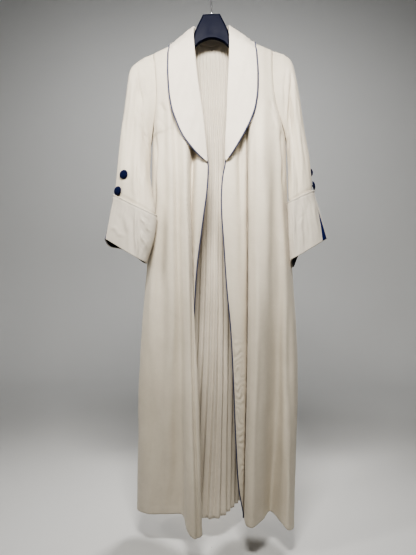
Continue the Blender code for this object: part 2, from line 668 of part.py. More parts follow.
def build_cuff(side, sleeve):
    """The turned-up band, its slit and facing, and the lining inside the sleeve's end."""
    place = SLIT_COLUMN[side]
    around = sleeve[0].shape[1]
    lining_offset = CLOTH / 2 + LAID + LINING / 2
    facing_offset = CLOTH / 2 + FACING_GAP + LINING / 2
    band_offset = facing_offset + LINING / 2 + BAND_GAP + CUFF_CLOTH / 2
    rows = [row for row in SLEEVE_ROWS if row >= CUFF_TOP]

    whole = place + np.arange(1, around)
    opening = np.interp(rows, *zip(*SLIT_OPEN))[:, None]
    columns = np.concatenate([place + opening, np.repeat(whole[None], len(rows), 0),
                              place + around - opening], 1)
    add_layer(f"cuff_{side}", sleeve, rows, columns, band_offset, CUFF_CLOTH, SKIN["cuff crepe"])

    reach = np.array([r for _, r in FACING_REACH])[:, None]
    add_layer(f"slit_facing_{side}", sleeve, [row for row, _ in FACING_REACH],
              place + reach * FACING_COLUMNS, facing_offset, LINING, SKIN["navy facing"])

    columns = np.repeat(np.arange(around, dtype=float)[None], len(rows), 0)
    add_layer(f"cuff_lining_{side}", sleeve, rows, columns, -lining_offset, LINING,
              SKIN["black lining"], tube=True)


def build_buttons(side, sleeve):
    """Two covered buttons, each turned about its own axis and set square on the sleeve."""
    columns = sleeve[0].shape[1]
    for number, (row, column) in enumerate(BUTTONS[side], 1):
        name = f"button_{side}_{number}"
        mesh = bpy.data.meshes.new(name)
        points = [(radius * MM, 0, height * MM) for radius, height in BUTTON_PROFILE]
        mesh.from_pydata(points, [(i, i + 1) for i in range(len(points) - 1)], [])
        mesh.materials.append(SKIN["navy button cloth"])
        obj = bpy.data.objects.new(name, mesh)
        COAT.objects.link(obj)
        turn = obj.modifiers.new("turned", "SCREW")
        turn.steps = turn.render_steps = BUTTON_STEPS
        turn.use_merge_vertices = True
        turn.merge_threshold = 0.0001
        turn.use_smooth_shade = True
        place, part = int(row), row - int(row)
        upper, lower = (on_sleeve(grid, [place, place + 1], np.full((2, 1), column % columns))[:, 0]
                        for grid in sleeve)
        normal = unit(lower[0] * (1 - part) + lower[1] * part)
        seat = upper[0] * (1 - part) + upper[1] * part + normal * (CLOTH / 2 + LAID)
        obj.location = Vector(seat * MM)
        obj.rotation_mode = "QUATERNION"
        obj.rotation_quaternion = Vector(normal).to_track_quat("Z", "Y")


def pushed_out(points, tree, gap):
    """Points moved along the body's normal until they are gap away from its middle surface. A
    second pass clears the face that a point comes near when it leaves the first one."""
    moved = []
    for point in points:
        spot = Vector(point)
        for _ in range(PUSH_PASSES):
            nearest, normal, _, _ = tree.find_nearest(spot)
            spot = spot + normal * max(gap - (spot - nearest).dot(normal), 0)
        moved.append(spot)
    return np.array(moved)


def body_tree(surfaces):
    """A search tree of the body's middle surface, its faces turned outwards."""
    points, faces = [], []
    for name, grid in surfaces.items():
        base = sum(len(p) for p in points)
        rows, columns = grid.shape[:2]
        points.append(grid.reshape(-1, 3))
        for r in range(rows - 1):
            for c in range(columns - 1):
                a = base + r * columns + c
                quad = (a, a + columns, a + columns + 1, a + 1)
                faces.append(quad if name == "left" else tuple(reversed(quad)))
    return BVHTree.FromPolygons(np.concatenate(points).tolist(), faces)


def collar_seam(surfaces, normals):
    """The collar's seam: its places along, its points and its normals, read from the fronts'
    own edge points and from the back neck."""
    way, points, upright = [], [], []
    rows = [i for i, row in enumerate(FRONT_ROWS) if row < PIPING_ROW]
    for side in ("right", "left"):
        sign, surface = SIDES[side]["sign"], surfaces[side]
        edge, beside = surface[rows, 0], surface[rows, 1]
        place = sign * (NECK_WAY + edge[0, 2] - edge[:, 2])
        order = slice(None, None, sign)
        points.append((edge + outwards(edge, beside) * SEAM)[order])
        upright.append(normals[side][rows, 0][order])
        way.append(place[order])
        if side == "right":
            corners = shoulder([-NECK_HALF, NECK_HALF])
            neck = np.concatenate([corners[:1], np.array(BACK_NECK, float) * (1, 1, -1), corners[1:]])
            curve = spline(np.linspace(-NECK_WAY, NECK_WAY, len(neck)), neck, NECK_STOPS)
            points.append(curve + (0, 0, 2 * SEAM + PLEAT_CLOTH / 2))
            upright.append(unit(curve * (1, 1, 0)))
            way.append(np.array(NECK_STOPS, float))
    return np.concatenate(way), np.concatenate(points), np.concatenate(upright)


def collar_surface(tree, surfaces, normals):
    """The collar's middle surface, from its seam up the stand, over the roll, to its edge."""
    way, foot, foot_normals = collar_seam(surfaces, normals)
    knots = [row[0] for row in COLLAR]
    roll, outer = (spline(knots, [row[k] for row in COLLAR], way) * (1, 1, -1) for k in (1, 2))
    rise = np.linalg.norm(foot - roll, axis=1, keepdims=True)
    width = np.linalg.norm(outer - roll, axis=1, keepdims=True)
    to_foot, to_outer = unit(foot - roll), unit(outer - roll)
    away = unit(-to_foot + (to_foot * to_outer).sum(1, keepdims=True) * to_outer)
    inner = roll + to_foot * np.minimum(ROLL_LIFT, rise / 2)
    over = roll + to_outer * np.minimum(ROLL_LIFT, width / 3) + away * ROLL_GAP
    columns = [foot, (foot + inner) / 2, inner, roll, over]
    for step in range(1, COLLAR_FALL_STEPS + 1):
        t = step / COLLAR_FALL_STEPS
        point = over + (outer - over) * t + away * np.minimum(2.5, width / 8) * sin(pi * t)
        columns.append(pushed_out(point, tree, COLLAR_GAP))
    return np.array(columns), foot_normals


def build_collar(surfaces, body_normals):
    """The shawl collar and the piping in its outer edge."""
    tree = body_tree(surfaces)
    middle, foot_normals = collar_surface(tree, surfaces, body_normals)
    normals = grid_normals(middle)
    if normals[7, 8, 1] > 0:
        normals = -normals
    normals[0] = -foot_normals
    add_wall("collar", middle, normals, CLOTH, SKIN["collar crepe"])
    out = unit(middle[-1] - middle[-2])
    path = pushed_out(middle[-1] + out * (CLOTH / 2 + LAID + PIPING_RADIUS), tree, PIPING_GAP)
    add_cord("piping_collar", path[1:-1], PIPING_RADIUS, SKIN["navy piping"])


def build_edge_piping(side, surface):
    """The piping down a front edge, from the collar's point to the hem."""
    edge, beside = surface[:, 0], surface[:, 1]
    path = edge + outwards(edge, beside) * (LAID + PIPING_RADIUS)
    path = path[FRONT_ROWS.index(PIPING_ROW):]
    add_cord(f"piping_{side}", path, PIPING_RADIUS, SKIN["navy piping"])


def hanger_top(x, top):
    """Drop of the hanger's upper edge at x: the plate's own, or just under the shoulder line."""
    if top is not None:
        return top - TILT * x
    beyond = max(abs(x) - HANGER_END, 0) / (223 - HANGER_END)
    return -shoulder(x)[2] + HANGER_REST + HANGER_END_DROP * beyond**2


def build_hanger():
    """Neck plate and arms as one loft along X of rounded sections."""
    half = [(x, top, low, thick) for x, top, low, thick in HANGER]
    stations = [(-x, top, low, thick) for x, top, low, thick in reversed(half[1:])] + half
    sections = []
    for x, top, low, thick in stations:
        upper, lower = hanger_top(x, top), low - TILT * x
        middle, height = (upper + lower) / 2, (lower - upper) / 2
        power = ARM_SQUARE if top is None else PLATE_SQUARE
        angle = 2 * pi * np.arange(HANGER_SIDES) / HANGER_SIDES
        c, s = np.round(np.cos(angle), 6), np.round(np.sin(angle), 6)
        y = thick * np.sign(c) * np.abs(c)**power
        z = -middle + height * np.sign(s) * np.abs(s)**power
        sections.append(np.stack([np.full(HANGER_SIDES, float(x)), y, z], 1))
    points = np.array(sections).reshape(-1, 3)
    faces = [tuple(range(HANGER_SIDES)), tuple(range(len(points) - HANGER_SIDES, len(points)))]
    for r in range(len(sections) - 1):
        for k in range(HANGER_SIDES):
            a, b = r * HANGER_SIDES + k, r * HANGER_SIDES + (k + 1) % HANGER_SIDES
            faces.append((a, b, b + HANGER_SIDES, a + HANGER_SIDES))
    add_mesh("hanger", points, faces, SKIN["navy plastic"])


def build_hook():
    """The wire hook: an arc over the rail, then an S back to the shaft over the neck plate."""
    radius = HOOK_INSIDE + WIRE
    angles = np.radians(np.linspace(HOOK_TIP_ANGLE, HOOK_LEAVE_ANGLE, 17))
    arc = np.stack([radius * np.cos(angles), 0 * angles, radius * np.sin(angles) - HOOK_INSIDE], 1)
    end = arc[-1]
    t = np.linspace(0, 1, 8)[1:]
    back = end[0] * (1 - smoothstep(0, 1, t**0.8))
    bend = np.stack([back, 0 * t, end[2] + (-HOOK_SHAFT_TOP - end[2]) * t], 1)
    foot = np.array([(0, 0, -HOOK_SHAFT_TOP - 15), (0, 0, -(94 - LAID))])
    add_cord("hook", np.concatenate([arc, bend, foot]), WIRE, SKIN["chrome"], resolution=1)


COAT = start_scene()
SKIN = make_materials()
SURFACES, NORMALS = build_body()
for wearer_side in SIDES:
    sleeve = sleeve_grid(wearer_side, SURFACES, NORMALS)
    build_sleeve(wearer_side, sleeve)
    build_cuff(wearer_side, sleeve)
    build_buttons(wearer_side, sleeve)
    build_edge_piping(wearer_side, SURFACES[wearer_side])
build_collar(SURFACES, NORMALS)
build_hanger()
build_hook()
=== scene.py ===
# Abaya coat on its hanger: the cloth, trim, hanger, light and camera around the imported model.
# Tables are in millimetres. A drop is a distance below the inside top of the hook, which is the
# origin. The front faces -Y and the wearer's right side is at -X.
from math import pi, radians

import bpy
import numpy as np
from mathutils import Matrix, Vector


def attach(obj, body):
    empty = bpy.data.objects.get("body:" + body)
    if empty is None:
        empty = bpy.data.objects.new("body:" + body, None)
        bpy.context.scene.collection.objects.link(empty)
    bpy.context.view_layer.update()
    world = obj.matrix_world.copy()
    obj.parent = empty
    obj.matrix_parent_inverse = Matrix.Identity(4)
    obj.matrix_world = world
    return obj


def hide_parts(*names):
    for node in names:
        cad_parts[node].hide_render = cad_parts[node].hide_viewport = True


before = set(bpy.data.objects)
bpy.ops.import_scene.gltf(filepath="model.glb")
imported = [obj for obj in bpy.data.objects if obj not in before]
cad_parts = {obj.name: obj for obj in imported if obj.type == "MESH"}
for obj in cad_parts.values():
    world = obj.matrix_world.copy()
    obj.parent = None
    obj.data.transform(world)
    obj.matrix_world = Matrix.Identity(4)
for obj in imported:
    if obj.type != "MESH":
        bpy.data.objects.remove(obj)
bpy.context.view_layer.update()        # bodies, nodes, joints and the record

mm = 0.001
root = "root"


# Curves and grids, all as whole arrays

def smoothCurve(knots, values, at):
    # cubic pieces through the values, with each slope taken from the two neighbours
    knots, values, at = (np.asarray(a, float) for a in (knots, values, at))
    slopes = np.gradient(values, knots, axis=0)
    i = np.clip(np.searchsorted(knots, at, side="right") - 1, 0, len(knots) - 2)
    column = (-1,) + (1,) * (values.ndim - 1)
    h = (knots[i + 1] - knots[i]).reshape(column)
    t = (at - knots[i]).reshape(column) / h
    return ((2 * t**3 - 3 * t**2 + 1) * values[i] + (t**3 - 2 * t**2 + t) * h * slopes[i]
            + (3 * t**2 - 2 * t**3) * values[i + 1] + (t**3 - t**2) * h * slopes[i + 1])


def unit(vectors):
    return vectors / np.maximum(np.linalg.norm(vectors, axis=-1, keepdims=True), 1e-9)


def smoothStep(low, high, x):
    t = np.clip((x - low) / (high - low), 0, 1)
    return t * t * (3 - 2 * t)


def alongLength(line, fractions):
    # points at fractions of a dense line's length
    steps = np.linalg.norm(np.diff(line[:, :2], axis=0), axis=1)
    length = np.concatenate(([0], np.cumsum(steps)))
    return np.stack([np.interp(fractions, length / length[-1], line[:, k]) for k in range(3)], 1)


def gridNormals(grid, tube=False):
    # the cross product of the grid's two directions
    down = np.gradient(grid, axis=0)
    if tube:
        across = np.roll(grid, -1, axis=1) - np.roll(grid, 1, axis=1)
    else:
        across = np.gradient(grid, axis=1)
    return unit(np.cross(across, down))


def outwards(line, beside):
    # from the cloth beside a line across the line, square to it
    along = unit(np.gradient(line, axis=0))
    across = line - beside
    return unit(across - (across * along).sum(-1, keepdims=True) * along)


def waves(a, b, seed, count=7, reach=(1.0, 3.0)):
    # a sum of plane waves over two coordinates, with seeded directions: about -1 to 1
    rng = np.random.default_rng(seed)
    total = np.zeros(np.broadcast(a, b).shape)
    for _ in range(count):
        angle, phase, speed = rng.uniform(0, 2 * pi), rng.uniform(0, 2 * pi), rng.uniform(*reach)
        total = total + np.sin(speed * (a * np.cos(angle) + b * np.sin(angle)) * 2 * pi + phase)
    return total / count**0.5 / 1.2


def creased(across, drop, table):
    # how far cloth sinks (below 0) or stands up (above 0) along short lines: a soft bell across
    # each line that fades out at both ends
    total = np.zeros(np.broadcast(across, drop).shape)
    for a0, d0, a1, d1, width, height in table:
        span = np.array([a1 - a0, d1 - d0], float)
        length = np.hypot(*span)
        t = ((across - a0) * span[0] + (drop - d0) * span[1]) / length**2
        off = ((across - a0) * -span[1] + (drop - d0) * span[0]) / length
        wander = 0.35 * width * np.sin(3.1 * pi * t + a0)
        ends = smoothStep(-0.12, 0.3, t) * smoothStep(-0.12, 0.3, 1 - t)
        total = total + height * np.exp(-((off - wander) / width)**2) * ends
    return total


# Meshes

def gridFaces(rows, columns, tube, flip):
    wrap = columns if tube else columns - 1
    r, c = np.arange(rows - 1)[:, None], np.arange(wrap)[None]
    right = (c + 1) % columns
    quads = np.stack([r * columns + c, r * columns + right, (r + 1) * columns + right,
                      (r + 1) * columns + c], -1).reshape(-1, 4)
    return quads[:, ::-1] if flip else quads


def gridUv(points, tube):
    # lengths along the cloth, in metres, measured on its middle row and column
    ring = np.concatenate([points, points[:, :1]], 1) if tube else points
    middle = ring[ring.shape[0] // 2]
    u = np.concatenate(([0], np.cumsum(np.linalg.norm(np.diff(middle, axis=0), axis=1))))
    side = ring[:, ring.shape[1] // 2]
    v = np.concatenate(([0], np.cumsum(np.linalg.norm(np.diff(side, axis=0), axis=1))))
    return np.stack(np.broadcast_arrays(u[None], -v[:, None]), -1) * mm


def gridCorners(uv):
    # the uv pairs at the four corners of each quad
    return np.stack([uv[:-1, :-1], uv[:-1, 1:], uv[1:, 1:], uv[1:, :-1]], -2).reshape(-1, 4, 2)


def makeMesh(name, points, faces, uv=None):
    # faces is a list, and uv holds one pair for each corner of each face
    mesh = bpy.data.meshes.new(name)
    mesh.from_pydata((np.asarray(points, float).reshape(-1, 3) * mm).tolist(), [], faces)
    if uv is not None:
        layer = mesh.uv_layers.new(name="cloth")
        layer.data.foreach_set("uv", np.ascontiguousarray(uv, np.float32).ravel())
    mesh.polygons.foreach_set("use_smooth", np.ones(len(mesh.polygons), bool))
    mesh.update()
    piece = bpy.data.objects.new(name, mesh)
    bpy.context.scene.collection.objects.link(piece)
    return piece


def clothGrid(name, points, normals, thick, tube=False):
    # a grid of middle points as one sheet, with its faces towards its normals and its own thickness
    flip = (gridNormals(points, tube) * normals).sum(-1).mean() < 0
    quads = gridFaces(*points.shape[:2], tube, flip)
    corners = gridCorners(gridUv(points, tube))
    piece = makeMesh(name, points, quads.tolist(), corners[:, ::-1] if flip else corners)
    wall = piece.modifiers.new("thickness", "SOLIDIFY")
    wall.thickness = thick * mm
    wall.offset = 0
    return piece


def cordMesh(name, path, radius, sides=12, normal=(0, 0, 1)):
    # a round section carried along a path, closed by small domes at both ends
    tangent = unit(np.gradient(path, axis=0))
    dome = 1 - np.linspace(0.12, 1, 5)
    stretch = np.sqrt(1 - dome**2)
    start = path[0] - tangent[0] * radius * dome[:, None]
    stop = path[-1] + tangent[-1] * radius * dome[::-1, None]
    line = np.concatenate([start[:-1], path, stop[1:]])
    size = np.concatenate([stretch[:-1], np.ones(len(path)), stretch[::-1][1:]]) * radius
    tangent = np.concatenate([np.repeat(tangent[:1], 4, 0), tangent, np.repeat(tangent[-1:], 4, 0)])
    side = unit(np.cross(tangent, np.broadcast_to(normal, tangent.shape)))
    up = np.cross(side, tangent)
    angle = 2 * pi * np.arange(sides) / sides
    ring = side[:, None] * np.cos(angle)[None, :, None] + up[:, None] * np.sin(angle)[None, :, None]
    points = line[:, None] + ring * size[:, None, None]
    quads = gridFaces(len(line), sides, True, True).tolist()
    length = np.concatenate(([0], np.cumsum(np.linalg.norm(np.diff(line, axis=0), axis=1)))) * mm
    around = np.arange(sides + 1) / sides * 2 * pi * radius * mm
    uv = np.stack(np.broadcast_arrays(around[None], length[:, None]), -1)
    count = len(line) * sides
    caps = [list(range(sides)), list(range(count - 1, count - sides - 1, -1))]
    corners = gridCorners(uv)[:, ::-1].reshape(-1, 2)
    return makeMesh(name, points, quads + caps, np.concatenate([corners, np.zeros((2 * sides, 2))]))


def stitchMesh(name, path, normals, pitch, length, radius):
    # short threads on the cloth: each is a small spindle whose ends dip into it
    steps = np.concatenate(([0], np.cumsum(np.linalg.norm(np.diff(path, axis=0), axis=1))))
    at = np.arange(pitch / 2, steps[-1], pitch)
    seat = np.stack([np.interp(at, steps, path[:, k]) for k in range(3)], 1)
    up = unit(np.stack([np.interp(at, steps, normals[:, k]) for k in range(3)], 1))
    ahead = np.stack([np.interp(at + 0.5, steps, path[:, k]) for k in range(3)], 1)
    along = unit(ahead - seat)
    side = np.cross(along, up)
    t = np.linspace(-1, 1, 6)
    angle = 2 * pi * np.arange(6) / 6
    size = radius * np.sqrt(np.maximum(1 - (0.96 * t)**2, 0.05))
    lift = radius * (0.6 - 1.3 * t**4)
    points = (seat[:, None, None] + along[:, None, None] * (t * length / 2)[None, :, None, None]
              + up[:, None, None] * (lift[None, :, None] + size[None, :, None] * np.sin(angle))[..., None]
              + side[:, None, None] * (size[None, :, None] * np.cos(angle))[..., None])
    quads = gridFaces(6, 6, True, False)
    faces = (quads[None] + 36 * np.arange(len(at))[:, None, None]).reshape(-1, 4)
    return makeMesh(name, points, faces.tolist())


def finished(piece, slotName, look, *nodes):
    # the piece gets its look, rides on the one body and stands for its solids; slotName is not used
    piece.data.materials.append(looks[look])
    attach(piece, root)
    if nodes:
        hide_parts(*nodes)
    return piece


# Materials

def wire(tree, *links):
    # each link is a node and its output, then the node that it feeds and that one's input
    for source, output, target, taker in links:
        tree.links.new(source.outputs[output], target.inputs[taker])


def addNode(tree, kind, inputs=None, **settings):
    made = tree.nodes.new(kind)
    for key, value in settings.items():
        setattr(made, key, value)
    for key, value in (inputs or {}).items():
        made.inputs[key].default_value = value
    return made


def startGroup(name, inputs, outputs):
    group = bpy.data.node_groups.new(name, "ShaderNodeTree")
    for label, kind, value in inputs:
        socket = group.interface.new_socket(label, in_out="INPUT", socket_type=kind)
        socket.default_value = value
    for label, kind in outputs:
        group.interface.new_socket(label, in_out="OUTPUT", socket_type=kind)
    return group, group.nodes.new("NodeGroupInput"), group.nodes.new("NodeGroupOutput")


def makeCrepeGroup():
    # pebbled yarn: the higher of two stretched noises, over slow tints and slubs along the cloth
    group, given, made = startGroup(
        "crepeCloth",
        [("Light", "NodeSocketColor", (0.7, 0.65, 0.58, 1)),
         ("Dark", "NodeSocketColor", (0.6, 0.55, 0.48, 1)),
         ("Threads", "NodeSocketFloat", 1500.0), ("Relief", "NodeSocketFloat", 0.25)],
        [("Color", "NodeSocketColor"), ("Roughness", "NodeSocketFloat"), ("Normal", "NodeSocketVector")])
    uv = addNode(group, "ShaderNodeUVMap", uv_map="cloth")
    place = addNode(group, "ShaderNodeTexCoord")
    warp = addNode(group, "ShaderNodeMapping", {"Scale": (1, 0.22, 1)})
    weft = addNode(group, "ShaderNodeMapping", {"Scale": (0.22, 1, 1)})
    warpNoise = addNode(group, "ShaderNodeTexNoise", {"Detail": 2.0, "Roughness": 0.6})
    weftNoise = addNode(group, "ShaderNodeTexNoise", {"Detail": 2.0, "Roughness": 0.6})
    yarn = addNode(group, "ShaderNodeMath", operation="MAXIMUM")
    slow = addNode(group, "ShaderNodeTexNoise", {"Scale": 4.5, "Detail": 3.0, "Roughness": 0.55})
    slub = addNode(group, "ShaderNodeTexNoise", {"Scale": 90.0, "Detail": 3.0, "Roughness": 0.7})
    slowRamp = addNode(group, "ShaderNodeMapRange", {"From Min": 0.3, "From Max": 0.7})
    slubRamp = addNode(group, "ShaderNodeMapRange", {"From Min": 0.35, "From Max": 0.65,
                                                     "To Min": -0.1, "To Max": 0.1})
    yarnRamp = addNode(group, "ShaderNodeMapRange", {"From Min": 0.4, "From Max": 0.75,
                                                     "To Min": 0.18, "To Max": -0.08})
    sumOne = addNode(group, "ShaderNodeMath", operation="ADD")
    sumTwo = addNode(group, "ShaderNodeMath", operation="ADD", use_clamp=True)
    tint = addNode(group, "ShaderNodeMix", data_type="RGBA")
    rough = addNode(group, "ShaderNodeMapRange", {"From Min": 0.35, "From Max": 0.75,
                                                  "To Min": 0.86, "To Max": 0.7})
    bump = addNode(group, "ShaderNodeBump", {"Distance": 0.0003})
    wire(group, (uv, "UV", warp, "Vector"), (uv, "UV", weft, "Vector"),
         (warp, "Vector", warpNoise, "Vector"), (weft, "Vector", weftNoise, "Vector"),
         (given, "Threads", warpNoise, "Scale"), (given, "Threads", weftNoise, "Scale"),
         (warpNoise, "Fac", yarn, 0), (weftNoise, "Fac", yarn, 1), (place, "Object", slow, "Vector"),
         (uv, "UV", slub, "Vector"), (slow, "Fac", slowRamp, "Value"), (slub, "Fac", slubRamp, "Value"),
         (yarn, 0, yarnRamp, "Value"), (yarn, 0, rough, "Value"), (slowRamp, 0, sumOne, 0),
         (slubRamp, 0, sumOne, 1), (sumOne, 0, sumTwo, 0), (yarnRamp, 0, sumTwo, 1),
         (sumTwo, 0, tint, "Factor"), (given, "Light", tint, "A"), (given, "Dark", tint, "B"),
         (yarn, 0, bump, "Height"), (given, "Relief", bump, "Strength"),
         (tint, "Result", made, "Color"), (rough, 0, made, "Roughness"),
         (bump, "Normal", made, "Normal"))
    return group


def makeWeaveGroup():
    # plain weave: two crossed rows of threads, over and under each other like a checkerboard
    group, given, made = startGroup(
        "plainWeave",
        [("Light", "NodeSocketColor", (0.1, 0.1, 0.3, 1)), ("Dark", "NodeSocketColor", (0, 0, 0.1, 1)),
         ("Threads", "NodeSocketFloat", 1000.0), ("Relief", "NodeSocketFloat", 0.6)],
        [("Color", "NodeSocketColor"), ("Roughness", "NodeSocketFloat"), ("Normal", "NodeSocketVector")])
    uv = addNode(group, "ShaderNodeUVMap", uv_map="cloth")
    sizes = addNode(group, "ShaderNodeVectorMath", operation="SCALE")
    parts = addNode(group, "ShaderNodeSeparateXYZ")
    wire(group, (uv, "UV", sizes, 0), (given, "Threads", sizes, "Scale"), (sizes, "Vector", parts, 0))
    heights = []
    for axis in ("X", "Y"):
        turn = addNode(group, "ShaderNodeMath", {1: pi}, operation="MULTIPLY")
        wave = addNode(group, "ShaderNodeMath", operation="SINE")
        wire(group, (parts, axis, turn, 0), (turn, 0, wave, 0))
        heights.append(wave)
    cross = addNode(group, "ShaderNodeMath", operation="MULTIPLY")
    fuzz = addNode(group, "ShaderNodeTexNoise", {"Scale": 2600.0, "Detail": 2.0})
    slow = addNode(group, "ShaderNodeTexNoise", {"Scale": 160.0, "Detail": 2.0})
    mixIn = addNode(group, "ShaderNodeMath", operation="ADD")
    shade = addNode(group, "ShaderNodeMapRange", {"From Min": -0.4, "From Max": 1.9})
    tint = addNode(group, "ShaderNodeMix", data_type="RGBA")
    rough = addNode(group, "ShaderNodeMapRange", {"To Min": 0.75, "To Max": 0.92})
    bump = addNode(group, "ShaderNodeBump", {"Distance": 0.0004})
    sumUp = addNode(group, "ShaderNodeMath", operation="ADD")
    wire(group, (heights[0], 0, cross, 0), (heights[1], 0, cross, 1), (uv, "UV", fuzz, "Vector"),
         (uv, "UV", slow, "Vector"), (fuzz, "Fac", mixIn, 0), (slow, "Fac", mixIn, 1),
         (cross, 0, sumUp, 0), (mixIn, 0, sumUp, 1), (sumUp, 0, shade, "Value"),
         (shade, 0, tint, "Factor"), (given, "Dark", tint, "A"), (given, "Light", tint, "B"),
         (slow, "Fac", rough, "Value"), (sumUp, 0, bump, "Height"), (given, "Relief", bump, "Strength"),
         (tint, "Result", made, "Color"), (rough, 0, made, "Roughness"),
         (bump, "Normal", made, "Normal"))
    return group


def startMaterial(name, shaderValues):
    material = bpy.data.materials.new(name)
    material.use_nodes = True
    tree = material.node_tree
    shader = tree.nodes["Principled BSDF"]
    for key, value in shaderValues.items():
        shader.inputs[key].default_value = value
    return material, tree, shader


def clothMaterial(name, group, light, dark, threads, relief, shaderValues):
    # one shader fed by a cloth group with this cloth's own values
    material, tree, shader = startMaterial(name, shaderValues)
    inputs = {"Light": (*light, 1), "Dark": (*dark, 1), "Threads": threads, "Relief": relief}
    cloth = addNode(tree, "ShaderNodeGroup", node_tree=group)
    for key, value in inputs.items():
        cloth.inputs[key].default_value = value
    wire(tree, (cloth, "Color", shader, "Base Color"), (cloth, "Roughness", shader, "Roughness"),
         (cloth, "Normal", shader, "Normal"))
    return material


crepeGroup = makeCrepeGroup()
weaveGroup = makeWeaveGroup()
crepeShader = {"Sheen Weight": 0.25, "Sheen Roughness": 0.45, "Sheen Tint": (1, 0.97, 0.93, 1),
               "Specular IOR Level": 0.35}
navyShader = {"Sheen Weight": 0.05, "Sheen Roughness": 0.4, "Sheen Tint": (0.3, 0.4, 0.9, 1),
              "Specular IOR Level": 0.22}
clothLooks = {          # group, light and dark colour, threads in a metre, relief, shader values
    "crepe": (crepeGroup, (0.67, 0.61, 0.51), (0.575, 0.52, 0.43), 1500, 0.3, crepeShader),
    # the same crepe painted lighter on the pleated back, standing in for light where the fronts shade it
    "pleatedCrepePaintedLighter": (crepeGroup, (0.74, 0.68, 0.585), (0.63, 0.575, 0.49), 1700, 0.25, crepeShader),
    # the same crepe painted lighter on the collar, standing in for the bright light at the top
    "collarCrepePaintedLighter": (crepeGroup, (0.70, 0.645, 0.56), (0.63, 0.575, 0.495), 1500, 0.25, crepeShader),
    # the same crepe painted darker on the cuff bands, standing in for the shade on them
    "cuffCrepePaintedDarker": (crepeGroup, (0.61, 0.565, 0.49), (0.52, 0.48, 0.415), 1500, 0.3, crepeShader),
    "navyButtonCloth": (weaveGroup, (0.006, 0.012, 0.075), (0.0012, 0.002, 0.014), 1100, 0.9, navyShader),
    "navyFacing": (weaveGroup, (0.016, 0.028, 0.17), (0.004, 0.006, 0.05), 2200, 0.3, navyShader),
    "blackLining": (weaveGroup, (0.012, 0.012, 0.016), (0.002, 0.002, 0.003), 2600, 0.2,
                    {"Sheen Weight": 0.1, "Specular IOR Level": 0.4}),
    "pipingCloth": (weaveGroup, (0.075, 0.085, 0.17), (0.02, 0.024, 0.06), 2400, 0.4,
                    {"Sheen Weight": 0.2, "Specular IOR Level": 0.5}),
    "crepeThread": (weaveGroup, (0.74, 0.7, 0.62), (0.5, 0.46, 0.4), 3500, 0.3,
                    {"Specular IOR Level": 0.4}),
}
looks = {name: clothMaterial(name, *look) for name, look in clothLooks.items()}


def makePlastic():
    # moulded navy plastic: fine grain, faint mould flow, and lighter edges that are rubbed wear and a painted
    # highlight
    material, tree, shader = startMaterial("navyPlastic", {"Specular IOR Level": 0.06})
    place = addNode(tree, "ShaderNodeTexCoord")
    grain = addNode(tree, "ShaderNodeTexNoise", {"Scale": 2200.0, "Detail": 2.0})
    flow = addNode(tree, "ShaderNodeTexNoise", {"Scale": 28.0, "Detail": 4.0, "Roughness": 0.6})
    point = addNode(tree, "ShaderNodeNewGeometry")
    # painted highlight: sharp convex edges are mixed towards a lighter navy, which also stands for rubbed
    # wear
    edge = addNode(tree, "ShaderNodeMapRange", {"From Min": 0.56, "From Max": 0.72, "To Max": 0.6})
    tint = addNode(tree, "ShaderNodeMix", {"A": (0.004, 0.0055, 0.018, 1), "B": (0.006, 0.008, 0.025, 1)},
                   data_type="RGBA")
    wornAndHighlitEdge = addNode(tree, "ShaderNodeMix", {"B": (0.03, 0.036, 0.07, 1)}, data_type="RGBA")
    rough = addNode(tree, "ShaderNodeMapRange", {"From Min": 0.3, "From Max": 0.7,
                                                 "To Min": 0.34, "To Max": 0.46})
    bump = addNode(tree, "ShaderNodeBump", {"Strength": 0.25, "Distance": 0.0002})
    wire(tree, (place, "Object", grain, "Vector"), (place, "Object", flow, "Vector"),
         (point, "Pointiness", edge, "Value"), (edge, 0, wornAndHighlitEdge, "Factor"),
         (flow, "Fac", tint, "Factor"), (tint, "Result", wornAndHighlitEdge, "A"),
         (wornAndHighlitEdge, "Result", shader, "Base Color"), (flow, "Fac", rough, "Value"),
         (rough, 0, shader, "Roughness"), (grain, "Fac", bump, "Height"),
         (bump, "Normal", shader, "Normal"))
    return material


def makeChrome():
    # polished wire with fine drawn scratches along its length
    material, tree, shader = startMaterial("chrome", {"Metallic": 1.0})
    place = addNode(tree, "ShaderNodeTexCoord")
    drawn = addNode(tree, "ShaderNodeMapping", {"Scale": (1, 1, 0.05)})
    scratch = addNode(tree, "ShaderNodeTexNoise", {"Scale": 1800.0, "Detail": 3.0})
    cloud = addNode(tree, "ShaderNodeTexNoise", {"Scale": 60.0, "Detail": 3.0})
    rough = addNode(tree, "ShaderNodeMapRange", {"From Min": 0.3, "From Max": 0.7,
                                                 "To Min": 0.08, "To Max": 0.2})
    tint = addNode(tree, "ShaderNodeMix", {"A": (0.78, 0.78, 0.79, 1), "B": (0.62, 0.62, 0.64, 1)},
                   data_type="RGBA")
    bump = addNode(tree, "ShaderNodeBump", {"Strength": 0.15, "Distance": 0.0001})
    wire(tree, (place, "Object", drawn, "Vector"), (drawn, "Vector", scratch, "Vector"),
         (place, "Object", cloud, "Vector"), (cloud, "Fac", rough, "Value"),
         (cloud, "Fac", tint, "Factor"), (tint, "Result", shader, "Base Color"),
         (rough, 0, shader, "Roughness"), (scratch, "Fac", bump, "Height"),
         (bump, "Normal", shader, "Normal"))
    return material


looks["plastic"] = makePlastic()
looks["chrome"] = makeChrome()
print("materials made")

# The body: shoulder line, armholes and seams that every panel shares

